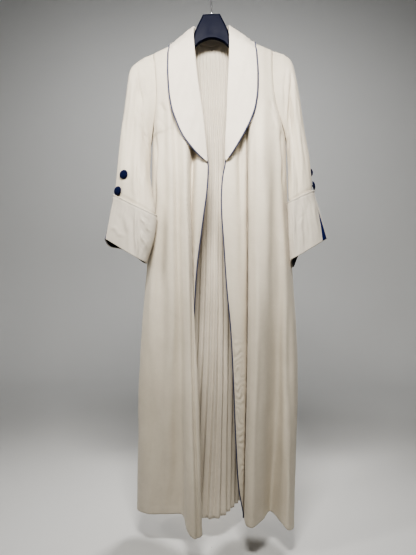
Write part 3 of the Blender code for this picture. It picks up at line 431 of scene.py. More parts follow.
body = {
    "neckHalf": 54, "shoulderDrop": 151.5, "shoulderSlope": 0.4425, "tilt": 0.0384,
    "armpit": 0.183, "armholeDepth": 25, "armpitEase": 1.6, "seam": 0.3, "pipingRow": 0.26,
    "chest": 335, "underarm": 452, "waist": 628, "knee": 1070,
    "backNeck": ((-44, 26, 160), (0, 44, 166), (44, 26, 157)),
}
sides = {               # armhole as half widths; seam and edge as drop, x, y
    "right": {
        "sign": -1, "armholeTop": 164, "armholeFoot": 165, "armholeCurve": 11, "hem": 1518,
        "seam": ((447, -165, 0), (628, -171, 12), (1070, -200, 45), (1518, -217, 95)),
        "edge": ((172, -53, -17), (216, -48, -32), (284, -41, -40), (346, -32, -43), (402, -24, -45),
                 (493, -15, -47), (528, -11, -47), (587, -13, -46), (680, -25, -45), (802, -39, -44),
                 (932, -46, -42), (1070, -51, -40), (1290, -54, -35), (1500, -56, -30)),
    },
    "left": {
        "sign": 1, "armholeTop": 173, "armholeFoot": 208, "armholeCurve": 9, "hem": 1522,
        "seam": ((439, 208, 0), (628, 216, 14), (1070, 244, 30), (1522, 231, 40)),
        "edge": ((168, 53, -17), (216, 51, -32), (284, 48, -39), (344, 45, -42), (402, 43, -44),
                 (493, 40, -46), (520, 40, -47), (559, 33, -46), (608, 29, -45), (668, 30, -44),
                 (737, 35, -42), (869, 44, -40), (973, 54, -38), (1138, 63, -34), (1285, 69, -31),
                 (1451, 80, -27), (1507, 87, -26)),
    },
}
levelDrops = (body["chest"], body["underarm"], body["waist"], body["knee"])


def shoulder(x):
    x = np.asarray(x, float)
    z = -body["shoulderDrop"] + body["tilt"] * x - body["shoulderSlope"] * (np.abs(x) - body["neckHalf"])
    return np.stack([x, np.zeros_like(x), z], -1)


def armhole(side, face, t):
    # the armhole's edge from shoulder (t 0) to armpit (t 1); face is -1 before and 1 behind
    cut = sides[side]
    t = np.asarray(t, float)
    top = -shoulder(cut["sign"] * cut["armholeTop"])[2]
    foot = top + (cut["hem"] - top) * body["armpit"]
    x = (cut["armholeTop"] + (cut["armholeFoot"] - cut["armholeTop"]) * t**2
         - cut["armholeCurve"] * np.sin(pi * t))
    y = face * body["armholeDepth"] * np.sqrt(np.maximum(np.sin(pi * t), 0))
    return np.stack([cut["sign"] * x, y, -(top + (foot - top) * t)], -1)


def seamColumn(side, face, v):
    # a panel's outer edge at fractions v of its length: armhole, then side seam
    cut = sides[side]
    top = shoulder(cut["sign"] * cut["armholeTop"])[2]
    z = top + (-cut["hem"] - top) * v
    table = np.array(cut["seam"], float)
    low = np.concatenate([smoothCurve(table[:, 0], table[:, 1:], np.maximum(-z, table[0, 0])), z[:, None]], 1)
    high = armhole(side, face, np.minimum(v / body["armpit"], 1))
    return np.where((v < body["armpit"])[:, None], high, low)


def frontEdge(side, z):
    neck = shoulder(sides[side]["sign"] * body["neckHalf"])
    table = np.array([(-neck[2], neck[0], -1)] + list(sides[side]["edge"]), float)
    return np.concatenate([smoothCurve(table[:, 0], table[:, 1:], -z), z[:, None]], 1)


def foldLine(top, table, z, hemDrop):
    # one fold line: over the shoulder to the chest, then down through its table to the hem
    chest, chestDrop = table[0], body["chest"]
    depth = np.clip((-z + top[2]) / (chestDrop + top[2]), 0, 1)
    x = top[0] + (chest[0] - top[0]) * smoothStep(0, 1, depth)
    flat = min(abs(top[1]) / 44, 1)
    bend = np.sqrt(depth * (2 - depth)) * (1 - flat) + depth * (2 - depth) * flat
    y = top[1] + (chest[1] - top[1]) * bend
    low = smoothCurve(levelDrops + (hemDrop,), table, np.clip(-z, chestDrop, hemDrop))
    below = -z > chestDrop
    return np.stack([np.where(below, low[:, 0], x), np.where(below, low[:, 1], y), z], 1)


def armholePull(side, face, v):
    # how far the armhole's cut moves the cloth's edge from a plain drape
    cut = sides[side]
    top, foot = armhole(side, face, [0, 1])
    chest = armhole(side, face, (body["chest"] + top[2]) / (top[2] - foot[2]))
    seam = np.array(cut["seam"], float)[1:, 1:]
    z = top[2] + (-cut["hem"] - top[2]) * v
    plain = foldLine(top, np.array([chest[:2], foot[:2], *seam]), z, cut["hem"])
    return seamColumn(side, face, v)[:, :2] - plain[:, :2]


# Fronts

fronts = {              # x, y of each fold line at chest, underarm, waist, knee and hem
    "columns": 132, "rows": 360, "thick": 1.1, "length": 1360, "easedRows": 14,
    "flow": 1.1, "ripple": 0.35, "seamSink": 0.7, "hemTurn": 24, "hemFold": 0.4, "hemStitch": 0.25,
    "right": {
        "chest": ((-45, -40), (-59, -38), (-68, -39), (-81, -43), (-94, -43),
                  (-109, -39), (-121, -39), (-136, -35), (-146, -32), (-151, -29)),
        "underarm": ((-37, -46), (-58, -38), (-65, -47), (-75, -57), (-88, -55),
                     (-100, -46), (-114, -50), (-134, -40), (-150, -33), (-161, -15)),
        "waist": ((-37, -48), (-60, -36), (-62, -52), (-71, -65), (-83, -60),
                  (-94, -50), (-110, -57), (-136, -42), (-153, -31), (-168, -8)),
        "knee": ((-61, -38), (-70, -40), (-38, -69), (-52, -80), (-70, -69),
                 (-84, -50), (-106, -55), (-134, -38), (-176, -28), (-201, 10)),
        "foot": ((-62, -31), (-67, -38), (-24, -82), (-44, -107), (-66, -80),
                 (-80, -24), (-114, -12), (-147, -6), (-182, 0), (-214, 48)),
        "hem": (1500, 1505, 1512, 1521, 1524, 1510, 1498, 1500, 1503, 1505, 1515, 1518),
    },
    "left": {
        "chest": ((59, -41), (78, -40), (92, -37), (102, -38), (118, -43),
                  (138, -43), (156, -38), (166, -35), (171, -31), (174, -28)),
        "underarm": ((58, -48), (82, -46), (101, -33), (107, -47), (123, -61),
                     (148, -59), (172, -47), (187, -42), (198, -30), (205, -13)),
        "waist": ((58, -51), (86, -47), (106, -26), (109, -52), (125, -73),
                  (152, -71), (178, -50), (194, -42), (205, -26), (214, -4)),
        "knee": ((71, -41), (88, -38), (100, -20), (103, -50), (119, -77),
                 (150, -66), (182, -38), (205, -50), (227, -40), (241, -10)),
        "foot": ((90, -27), (95, -26), (99, -32), (91, -52), (108, -80),
                 (136, -50), (165, -4), (188, -38), (206, -63), (228, -30)),
        "hem": (1507, 1507, 1507, 1506, 1506, 1506, 1500, 1496, 1508, 1520, 1527, 1522),
    },
}
levelNames = ("chest", "underarm", "waist", "knee", "foot")


def frontSurface(side, v, u):
    # twelve fold lines from the front edge to the side seam, joined by a smooth curve across
    cut, table = sides[side], fronts[side]
    levels = np.array([table[key] for key in levelNames], float)
    widths = np.abs(levels[0, :, 0])
    reach = (widths - 30) / (abs(armhole(side, -1, 0.55)[0]) - 30)
    spread = body["neckHalf"] + (cut["armholeTop"] - body["neckHalf"]) * reach
    tops = shoulder(cut["sign"] * np.concatenate([[body["neckHalf"]], spread, [cut["armholeTop"]]]))
    pull = armholePull(side, -1, v)
    last = len(table["hem"]) - 1
    lines = []
    for i, (top, hem) in enumerate(zip(tops, table["hem"])):
        z = top[2] + (-hem - top[2]) * v
        if i == 0:
            line = frontEdge(side, z)
        elif i == last:
            line = seamColumn(side, -1, v)
        else:
            line = foldLine(top, levels[:, i - 1], z, hem)
            line[:, :2] += pull * (i / last)**3
        lines.append(line)
    return smoothCurve(np.arange(last + 1), lines, u * last).transpose(1, 0, 2)


frontValleys = {        # drop, x, depth away from the viewer, half width: narrow or broad, in shade
    "right": (
        ((300, -60, 0, 7), (400, -56, 5, 9), (470, -50, 17, 12), (560, -53, 14, 11), (800, -54, 9, 8),
         (1070, -50, 9, 7), (1300, -44, 9, 7), (1500, -38, 9, 7)),
    ),
    "left": (
        ((300, 103, 2, 4), (430, 102.5, 8, 4.5), (560, 102, 15, 5), (800, 101, 17, 5.5),
         (1070, 99.5, 17, 5.5), (1300, 94, 16, 5.5), (1500, 90, 13, 5.5)),
        ((330, 86, 0, 12), (400, 84, 7, 12), (470, 79, 15, 13), (560, 78, 12, 13), (700, 80, 6, 13),
         (900, 84, 1, 12), (1100, 84, 0, 12)),
    ),
}
frontCreases = {        # x, drop, x, drop, width, height: troughs are below 0
    "right": (
        (-125, 430, -146, 960, 12, -4.6), (-112, 640, -124, 1440, 14, 3.4), (-95, 300, -84, 700, 9, -3.4),
        (-148, 520, -172, 1240, 12, 3.8), (-158, 900, -180, 1500, 14, -4.2), (-138, 330, -128, 500, 9, -3.2),
        (-60, 560, -44, 900, 8, 2.2), (-58, 980, -40, 1490, 9, -2.2), (-96, 960, -108, 1510, 12, -3.4),
        (-136, 1180, -136, 1510, 12, 3.0), (-150, 352, -122, 386, 5, -1.8), (-152, 388, -128, 432, 5, -1.5),
        (-70, 200, -66, 300, 8, 1.2), (-118, 190, -132, 300, 9, -1.8), (-22, 520, -24, 700, 6, 1.0),
        (-196, 1080, -206, 1500, 11, 2.6), (-155, 440, -158, 650, 5, -8.0),
    ),
    "left": (
        (137, 340, 150, 960, 12, 3.8), (166, 420, 176, 1240, 13, -4.4), (190, 560, 206, 1360, 11, 3.4),
        (150, 660, 160, 1460, 14, -3.2), (118, 480, 122, 1220, 9, 2.6), (212, 860, 222, 1480, 10, -3.4),
        (120, 210, 132, 360, 9, -1.9), (160, 350, 178, 392, 5, -1.9), (164, 390, 182, 436, 5, -1.6),
        (95, 200, 90, 300, 8, 1.2), (128, 980, 124, 1500, 9, -2.4), (205, 1140, 206, 1510, 10, 2.6),
        (70, 560, 78, 800, 8, 1.0), (195, 430, 203, 610, 5, -8.0),
    ),
}


def easedChest(points):
    # where the drape from the shoulder meets the hanging folds, each point moves to the mean of
    # the rows round it, which takes the kink out
    near, drop = fronts["easedRows"], -points[:, 1:-1, 2]
    mask = (smoothStep(215, 290, drop) * smoothStep(450, 380, drop))[..., None]
    padded = np.pad(points, ((near, near), (0, 0), (0, 0)), mode="edge")
    total = np.cumsum(np.concatenate([np.zeros_like(padded[:1]), padded]), 0)
    count = 2 * near + 1
    soft = (total[count:] - total[:-count]) / count
    points[:, 1:-1, :2] += ((soft - points)[:, 1:-1] * mask)[..., :2]
    return points


def valleyFold(points, table):
    # a valley whose two shoulders are drawn together, so that it stays dark
    drop = np.clip(-points[..., 2], table[0, 0], table[-1, 0]).ravel()
    place, depth, half = smoothCurve(table[:, 0], table[:, 1:], drop).T.reshape((3,) + points.shape[:2])
    way = (points[..., 0] - place) / half * np.sign(place)
    near, far = np.exp(-((way + 1.3) / 0.9)**2), np.exp(-((way - 1.3) / 0.9)**2)
    drawn = (near - far) * np.minimum(0.28 * depth, 0.72 * half) * np.sign(place)
    return points + np.stack([drawn, depth * (np.exp(-way**2) - 0.15 * far), 0 * way], -1)


def wrinkledStrip(points, side, edgeWay):
    # short level wrinkles between the front edge and its deep fold, where the facing is tight
    drop = -points[..., 2]
    if side == "left":
        zone = smoothStep(930, 1080, drop) * smoothStep(1500, 1360, drop) * smoothStep(0, 5, edgeWay)
        zone = zone * smoothStep(48, 22, edgeWay)
        phase = drop / 21 + 0.55 * waves(drop / 160, edgeWay / 60, 11)
        return 1.15 * zone * np.sin(2 * pi * phase) * (0.6 + 0.4 * waves(drop / 90, edgeWay / 40, 12))
    zone = smoothStep(640, 820, drop) * smoothStep(0, 5, edgeWay) * smoothStep(34, 14, edgeWay)
    return 0.5 * zone * np.sin(2 * pi * (drop / 30 + 0.6 * waves(drop / 200, edgeWay / 60, 13)))


def buildFronts():
    made = {}
    for side in ("right", "left"):
        rows, columns = fronts["rows"], fronts["columns"]
        v = np.linspace(0, 1, rows)**1.02
        u = np.linspace(0, 1, columns)
        points = easedChest(frontSurface(side, v, u))
        for valley in frontValleys[side]:
            points = valleyFold(points, np.array(valley, float))
        normals = gridNormals(points) * (1 if side == "right" else -1)
        steps = np.linalg.norm(np.diff(points, axis=1), axis=2)
        edgeWay = np.concatenate([np.zeros((rows, 1)), np.cumsum(steps, 1)], 1)
        seamWay = edgeWay[:, -1:] - edgeWay
        drop = -points[..., 2]
        hemWay = (1 - v[:, None]) * fronts["length"]
        free = smoothStep(0, 30, seamWay) * smoothStep(6, 40, edgeWay) * smoothStep(0, 60, drop - 160)
        relief = creased(points[..., 0], drop, frontCreases[side]) * free
        flow = waves(points[..., 0] / 150 + 0.12 * waves(drop / 900, points[..., 0] / 400, 5), drop / 1400,
                     21 if side == "right" else 22)
        relief += flow * fronts["flow"] * smoothStep(300, 1200, drop) * free
        ripple = waves(points[..., 0] / 70, drop / 150, 31 if side == "right" else 32)
        relief += fronts["ripple"] * ripple * free
        relief += wrinkledStrip(points, side, edgeWay)
        relief -= fronts["seamSink"] * np.exp(-(seamWay / 3.5)**2) * smoothStep(1480, 1400, drop)
        relief += fronts["seamSink"] / 2 * np.exp(-((seamWay - 9) / 4)**2)
        turn = fronts["hemTurn"]                  # the depth of the turned hem
        relief += fronts["hemFold"] * smoothStep(turn, turn - 4, hemWay)
        relief -= fronts["hemStitch"] * np.exp(-((hemWay - turn - 1) / 2.5)**2)
        points = points + normals * relief[..., None]
        trim = outwards(points[:, -1], points[:, -2]) * body["seam"] / 2
        points[:, -1] -= trim
        piece = clothGrid(f"frontCloth_{side}", points, normals, fronts["thick"])
        finished(piece, "crepe", "crepe", f"front_{side}")
        made[side] = (piece, points, normals, v)
        print("front", side, "area", round(sheetArea(points), 3))
    return made


def sheetArea(points, tube=False):
    # the area of a grid in square metres, from the cross products of its cells' diagonals
    ring = np.concatenate([points, points[:, :1]], 1) if tube else points
    a = ring[1:, 1:] - ring[:-1, :-1]
    b = ring[1:, :-1] - ring[:-1, 1:]
    return float(np.linalg.norm(np.cross(a, b), axis=2).sum() / 2) * mm * mm


# The pleated back

back = {                # x, y of each fold line at chest, underarm, waist, knee and hem
    "pleats": 34, "columnsInTurn": 4, "rows": 155, "thick": 1.0,
    "depth": ((0, 0.2), (0.03, 1.8), (0.2, 2.5), (0.6, 3.9), (1, 5.8)),
    "lean": 0.05, "spread": 0.3, "sharp": 0.9, "uneven": 0.16, "sway": 0.9,
    "levelRows": (0.1, 0.19, 0.33, 0.67, 1),
    "chest": ((-155, 25), (-146, 33), (-120, 46), (-82, 55), (-42, 58), (2, 59),
              (38, 58), (70, 57), (106, 53), (142, 45), (167, 33), (176, 25)),
    "underarm": ((-165, 0), (-161, 24), (-135, 50), (-92, 62), (-44, 66), (2, 67),
                 (38, 67), (72, 66), (112, 62), (160, 50), (201, 24), (208, 0)),
    "waist": ((-171, 12), (-165, 38), (-136, 62), (-92, 76), (-44, 78), (0, 75),
              (36, 75), (70, 78), (112, 76), (166, 62), (208, 38), (216, 14)),
    "knee": ((-200, 45), (-188, 75), (-152, 98), (-106, 96), (-60, 76), (-16, 60),
             (26, 58), (62, 78), (104, 101), (165, 99), (222, 68), (244, 30)),
    "foot": ((-217, 95), (-200, 121), (-158, 135), (-112, 112), (-66, 62), (-24, 28),
             (20, 22), (54, 60), (86, 108), (145, 132), (204, 102), (231, 40)),
    "hem": (1518, 1519, 1517, 1520, 1525, 1529, 1527, 1521, 1514, 1513, 1517, 1522),
}


def pleatPlaces(f, row):
    # where fractions f of the width lie at a row: the pleats lean and spread towards the hem
    return f - row**2 * (back["lean"] * np.sin(pi * f) + back["spread"] * np.sin(2 * pi * f) / (2 * pi))


def backTop():
    neck = np.array(body["backNeck"], float) * (1, 1, -1)
    half = body["neckHalf"]
    corners = shoulder([-half, half])
    neck = np.concatenate([corners[:1], neck, corners[1:]])
    curve = smoothCurve(np.arange(len(neck)), neck, np.linspace(0, len(neck) - 1, 80))
    return np.concatenate([shoulder(np.linspace(-sides["right"]["armholeTop"], -half, 40)), curve[1:-1],
                           shoulder(np.linspace(half, sides["left"]["armholeTop"], 40))])


def backSurface(v, f):
    # the middle surface before its pleats: a fold line for each fraction f of the width
    top = alongLength(backTop(), pleatPlaces(f, 0))
    levels = []
    for key, drop, row in zip(levelNames, levelDrops + (None,), back["levelRows"]):
        drops = back["hem"] if drop is None else [drop] * len(back["hem"])
        points = np.array([(x, y, -d) for (x, y), d in zip(back[key], drops)], float)
        dense = smoothCurve(np.arange(len(points)), points, np.linspace(0, len(points) - 1, 240))
        levels.append(alongLength(dense, pleatPlaces(f, row)))
    levels = np.array(levels)
    pullRight, pullLeft = (armholePull(side, 1, v) for side in ("right", "left"))
    lines = []
    last = len(f) - 1
    for i in range(last + 1):
        hem = -levels[-1, i, 2]
        z = top[i, 2] + (-hem - top[i, 2]) * v
        if i in (0, last):
            line = seamColumn("right" if i == 0 else "left", 1, v)
        else:
            line = foldLine(top[i], levels[:, i, :2], z, hem)
            line[:, :2] += pullRight * (1 - f[i])**8 + pullLeft * f[i]**8
        lines.append(line)
    return np.array(lines).transpose(1, 0, 2)


def buildBack():
    # sunray pleats: a zigzag with rounded turns, in and out of the middle surface
    count = 2 * back["pleats"]
    f = np.linspace(0, 1, count * back["columnsInTurn"] + 1)
    v = np.linspace(0, 1, back["rows"])
    middle = backSurface(v, f)
    normals = gridNormals(middle)
    turn = f * count
    zigzag = 1 - 2 * np.abs(np.mod(turn, 2) - 1)
    zigzag = back["sharp"] * zigzag - (1 - back["sharp"]) * np.cos(pi * turn)
    ends = np.clip(np.minimum(turn, count - turn) / 2, 0, 1)
    depth = np.interp(v, *zip(*back["depth"]))[:, None]
    down = v[:, None]
    uneven = 1 + back["uneven"] * waves(turn[None] / 9, down * 1.6, 41) * smoothStep(0.05, 0.4, down)
    sway = back["sway"] * waves(down * 2.2, turn[None] / 14, 42) * smoothStep(0.1, 0.6, down)
    across = unit(np.gradient(middle, axis=1))
    points = middle + normals * (depth * uneven * (zigzag * ends)[None])[..., None]
    points = points + across * (sway * ends[None])[..., None]
    for column, beside in ((0, 1), (-1, -2)):
        points[:, column] -= outwards(points[:, column], points[:, beside]) * body["seam"] / 2
    piece = clothGrid("backPleats", points, normals, back["thick"])
    finished(piece, "pleated_crepe", "pleatedCrepePaintedLighter", "back_pleated")
    print("back area", round(sheetArea(points), 3))
    return piece, middle, normals


# Sleeves, cuffs and what lies on them

sleeves = {             # outer and inner line as x, y, drop, then front, back and where it swells
    "around": 168, "rowsInStep": 13, "thick": 1.1,
    "right": (
        ((-188, -1, 217.5), (-170, -1, 466), 27, 26, 0.50),
        ((-210, -2, 231.5), (-171, -2, 480), 28, 27, 0.50),
        ((-227, -3, 251), (-171, -3, 492), 28, 26, 0.50),
        ((-234, -6, 287), (-172, -4, 506), 27, 25, 0.50),
        ((-243, -10, 362), (-172, -14, 542), 25, 24, 0.52),
        ((-253, -16, 439), (-168, -30, 579), 24, 23, 0.56),
        ((-260, -24, 525), (-161, -46, 614), 24, 22, 0.60),
        ((-267, -32, 612), (-153, -58, 673), 25, 24, 0.66),
        ((-277, -38, 671), (-159, -60, 730), 27, 28, 0.70),
        ((-291, -42, 730), (-179, -60, 796), 28, 32, 0.72),
    ),
    "left": (
        ((202, -1, 208), (213, -1, 458), 27, 26, 0.50),
        ((218, -2, 220), (213, -2, 472), 28, 27, 0.50),
        ((227, -3, 234), (213, -3, 484), 28, 26, 0.50),
        ((234, -6, 262), (214, -5, 498), 27, 25, 0.50),
        ((247, -10, 336), (215, -16, 529), 26, 24, 0.48),
        ((259, -14, 425), (213, -30, 562), 25, 24, 0.46),
        ((272, -20, 510), (212, -40, 594), 24, 26, 0.44),
        ((280, -26, 600), (212, -46, 634), 24, 30, 0.42),
        ((295, -30, 656), (214, -50, 708), 26, 34, 0.42),
        ((314, -32, 730), (219, -52, 787), 27, 38, 0.42),
    ),
    "crease": {"right": (0.36, 7, 0.13), "left": (0.62, 9, 0.14)},
    # folds of the front: x, drop, x, drop, width, height
    "folds": {
        "right": ((-210, 254, -191, 372, 4.2, -3.2), (-194, 357, -181, 476, 4.2, -3.0),
                  (-223, 279, -209, 434, 7.2, 2.0), (-181, 296, -170, 412, 6.1, 1.6),
                  (-202, 506, -195, 653, 3.6, -2.4), (-211, 506, -206, 639, 5.0, 1.8),
                  (-186, 512, -180, 656, 4.4, 1.6), (-234, 334, -245, 512, 6.1, -1.2),
                  (-244, 401, -249, 584, 4.4, 1.0), (-226, 484, -217, 623, 6.1, -1.0),
                  (-231, 612, -198, 639, 3.3, 0.8), (-176, 456, -201, 418, 3.6, -1.4),
                  (-179, 440, -204, 395, 3.3, 1.0), (-234, 631, -209, 612, 3.0, -0.8)),
        "left": ((222, 267, 216, 374, 3.6, -4.0), (216, 361, 211, 489, 3.6, -3.6),
                 (205, 256, 202, 406, 3.6, -2.4), (214, 273, 209, 411, 3.3, 2.0),
                 (233, 289, 225, 484, 4.7, 2.2), (249, 334, 255, 589, 6.1, -1.4),
                 (237, 456, 235, 622, 5.0, -1.3), (267, 456, 276, 595, 4.4, 1.2),
                 (224, 484, 222, 617, 3.9, 1.4), (196, 306, 193, 378, 3.3, 1.2),
                 (244, 400, 246, 611, 5.0, 1.0)),
    },
    # folds behind: way round the sleeve (0 outer, 0.5 inner), row / 10, the same at the other
    # end, width as a part of the round, height
    "foldsBehind": {
        "right": ((0.60, 0.10, 0.72, 0.50, 0.014, -2.0), (0.80, 0.20, 0.76, 0.70, 0.016, 1.8),
                  (0.92, 0.14, 0.90, 0.64, 0.012, -1.4), (0.66, 0.40, 0.62, 0.76, 0.014, 1.4),
                  (0.86, 0.45, 0.84, 0.76, 0.012, -1.2), (0.56, 0.08, 0.70, 0.22, 0.012, 1.0)),
        "left": ((0.62, 0.12, 0.70, 0.54, 0.014, -1.9), (0.82, 0.20, 0.78, 0.72, 0.016, 1.7),
                 (0.93, 0.12, 0.90, 0.60, 0.012, -1.3), (0.68, 0.36, 0.64, 0.76, 0.014, 1.3),
                 (0.88, 0.50, 0.86, 0.76, 0.012, -1.1), (0.57, 0.08, 0.68, 0.20, 0.012, 0.9)),
    },
    # where round it the sleeve's end hangs lower, over what part of the round, and how far
    "hang": {"right": ((0.90, 0.09, 15), (0.60, 0.08, 5)), "left": ((0.585, 0.06, 26), (0.85, 0.1, 4))},
    "groove": {"row": 7.92, "width": 0.055, "depth": 2.4},      # just above the cuff's edge
    "ripple": 0.45, "seamSink": 0.6, "easeWaves": 13, "ease": 0.45,
}


def sleeveShape(side, row, around):
    # a section between the outer and the inner line: half a wave over the front and behind
    table = sleeves[side]
    knots = np.arange(1, len(table) + 1)
    flat = row.ravel()
    outer = smoothCurve(knots, [r[0] for r in table], flat) * (1, 1, -1)
    inner = smoothCurve(knots, [r[1] for r in table], flat) * (1, 1, -1)
    front, rear, swell = (smoothCurve(knots, [r[k] for r in table], flat) for k in (2, 3, 4))
    way = np.mod(around.ravel(), 1)
    isFront = way < 0.5
    t = np.where(isFront, 2 * way, 2 - 2 * way)
    across = (1 - np.cos(pi * t)) / 2
    skewed = across ** (np.log(0.5) / np.log(swell))
    swelling = np.sqrt(np.maximum(4 * skewed * (1 - skewed), 0))
    roundBack = np.sqrt(np.maximum(4 * across * (1 - across), 0))
    place, depth, width = sleeves["crease"][side]
    fade = smoothStep(0.6, 2.5, flat) * (1 - 0.6 * smoothStep(5.5, 7.8, flat))
    crease = depth * fade * np.exp(-((across - place) / width)**2)
    points = outer + (inner - outer) * across[:, None]
    points[:, 1] += np.where(isFront, -front * swelling + crease, rear * roundBack)
    return points.reshape(row.shape + (3,))


def sleevePoints(side, row, around):
    # rows 0 to 10: row 0 is the armhole, a little outside the body where the body faces sideways
    row, around = np.broadcast_arrays(np.asarray(row, float), np.asarray(around, float))
    around = np.mod(around, 1)
    low = sleeveShape(side, np.maximum(row, 1), around)
    t = np.where(around < 0.5, 2 * around, 2 - 2 * around)
    hole = np.where((around < 0.5)[..., None], armhole(side, -1, t), armhole(side, 1, t))
    hole[..., 0] += sides[side]["sign"] * (body["seam"] + body["armpitEase"] * smoothStep(0.5, 0.95, t))
    blend = np.clip(row, 0, 1)[..., None]
    points = hole + (low - hole) * blend
    for middle, width, drop in sleeves["hang"][side]:
        off = np.mod(around - middle + 0.5, 1) - 0.5
        points[..., 2] -= drop * np.exp(-(off / width)**2) * smoothStep(8.7, 10, row)
    return points


def sleeveNormals(side, row, around):
    row = np.asarray(row, float)
    down = sleevePoints(side, np.minimum(row + 0.05, 10), around) - sleevePoints(side, row - 0.05, around)
    turn = sleevePoints(side, row, around + 0.004) - sleevePoints(side, row, around - 0.004)
    return unit(np.cross(turn, down)) * sides[side]["sign"]


def sleeveRelief(side, row, around, points, normals):
    # soft creases that fade out next to the armhole and under the cuff, which draws a groove
    free = smoothStep(0.1, 0.9, row) * (1 - smoothStep(7.6, 7.95, row))
    way = np.mod(around, 1)
    facing = smoothStep(0.05, 0.5, -normals[..., 1])
    relief = creased(points[..., 0], -points[..., 2], sleeves["folds"][side]) * facing
    relief = relief + creased(way, row / 10, sleeves["foldsBehind"][side])
    seed = 51 if side == "right" else 52
    ripple = waves(np.cos(2 * pi * around) * 1.2, row / 6 + np.sin(2 * pi * around), seed)
    relief = relief + sleeves["ripple"] * ripple
    groove = sleeves["groove"]
    relief = relief * free - groove["depth"] * np.exp(-((row - groove["row"]) / groove["width"])**2)
    relief = relief - sleeves["seamSink"] * np.exp(-(row / 0.12)**2)
    t = np.where(way < 0.5, 2 * way, 2 - 2 * way)
    ease = smoothStep(0.9, 0.1, row) * smoothStep(0.0, 0.25, row) * smoothStep(0.5, 0.1, t)
    return relief + sleeves["ease"] * np.sin(2 * pi * sleeves["easeWaves"] * t) * ease


def buildSleeve(side):
    row = np.concatenate([np.linspace(0, 1, 15)[:-1], np.linspace(1, 10, 9 * sleeves["rowsInStep"])])
    row = row[:, None]
    around = np.arange(sleeves["around"])[None] / sleeves["around"]
    row, around = np.broadcast_arrays(row, around)
    points = sleevePoints(side, row, around)
    normals = sleeveNormals(side, row, around)
    relief = sleeveRelief(side, row, around, points, normals)
    points = points + normals * relief[..., None]
    piece = clothGrid(f"sleeveCloth_{side}", points, normals, sleeves["thick"], tube=True)
    finished(piece, "crepe", "crepe", f"sleeve_{side}")
    print("sleeve", side, "area", round(sheetArea(points, True), 3))
    return piece


cuffs = {
    "columns": 170, "rows": 58, "thick": 1.4, "innerThick": 0.8, "top": 7.96, "foot": 10.015,
    "slit": {"right": 0.0, "left": 0.078},                       # where round the sleeve it is open
    "open": ((8.0, 0.0006), (8.6, 0.0006), (9, 0.008), (9.5, 0.03), (10.02, 0.052)),    # row, half width
    "facingReach": ((8.5, 0.03), (9, 0.045), (9.5, 0.06), (10, 0.08)),
    "offset": 3.35, "facingOffset": 1.9, "liningOffset": -1.4, "rowLength": 60, "ripple": 0.3,
    "deepest": -1.5, "topFlare": 2.3, "flareFade": 7, "topGroove": 1.3, "topGrooveWay": 4.5,
    # folds of the front: x, drop, x, drop, width, height
    "folds": {
        "right": ((-204, 652, -199, 790, 3.6, 4.6), (-213, 658, -208, 790, 5.0, -1.5),
                  (-194, 664, -191, 790, 3.2, -1.5), (-188, 677, -166, 716, 3.2, 3.8),
                  (-190, 699, -168, 738, 3.0, -1.4), (-190, 718, -172, 762, 3.2, 3.8),
                  (-190, 746, -177, 784, 3.2, -1.3), (-182, 672, -162, 694, 2.8, -1.3),
                  (-262, 658, -220, 735, 8.2, -1.0), (-275, 696, -237, 729, 6.0, 1.6),
                  (-234, 642, -218, 768, 6.6, 1.5)),
        "left": ((229, 633, 232, 754, 3.6, -1.5), (221, 647, 224, 768, 3.2, 3.2),
                 (241, 633, 244, 748, 4.8, 2.8), (255, 625, 264, 737, 5.2, -1.4),
                 (273, 617, 288, 729, 5.2, 1.8), (232, 691, 245, 669, 3.6, -1.2)),
    },
    "foldsBehind": {
        "right": ((0.62, 0.82, 0.70, 0.98, 0.016, -0.8), (0.82, 0.83, 0.76, 0.99, 0.016, 1.2),
                  (0.90, 0.82, 0.88, 0.95, 0.012, 0.9)),
        "left": ((0.60, 0.82, 0.68, 0.98, 0.016, -0.8), (0.80, 0.84, 0.76, 0.99, 0.016, 1.1),
                 (0.90, 0.82, 0.88, 0.96, 0.012, 0.9)),
    },
    "stitch": {"from": 4.0, "pitch": 3.1, "length": 2.3, "radius": 0.22},
}


def cuffLayer(side, row, around, offset):
    normals = sleeveNormals(side, row, around)
    return sleevePoints(side, row, around) + normals * offset[..., None], normals


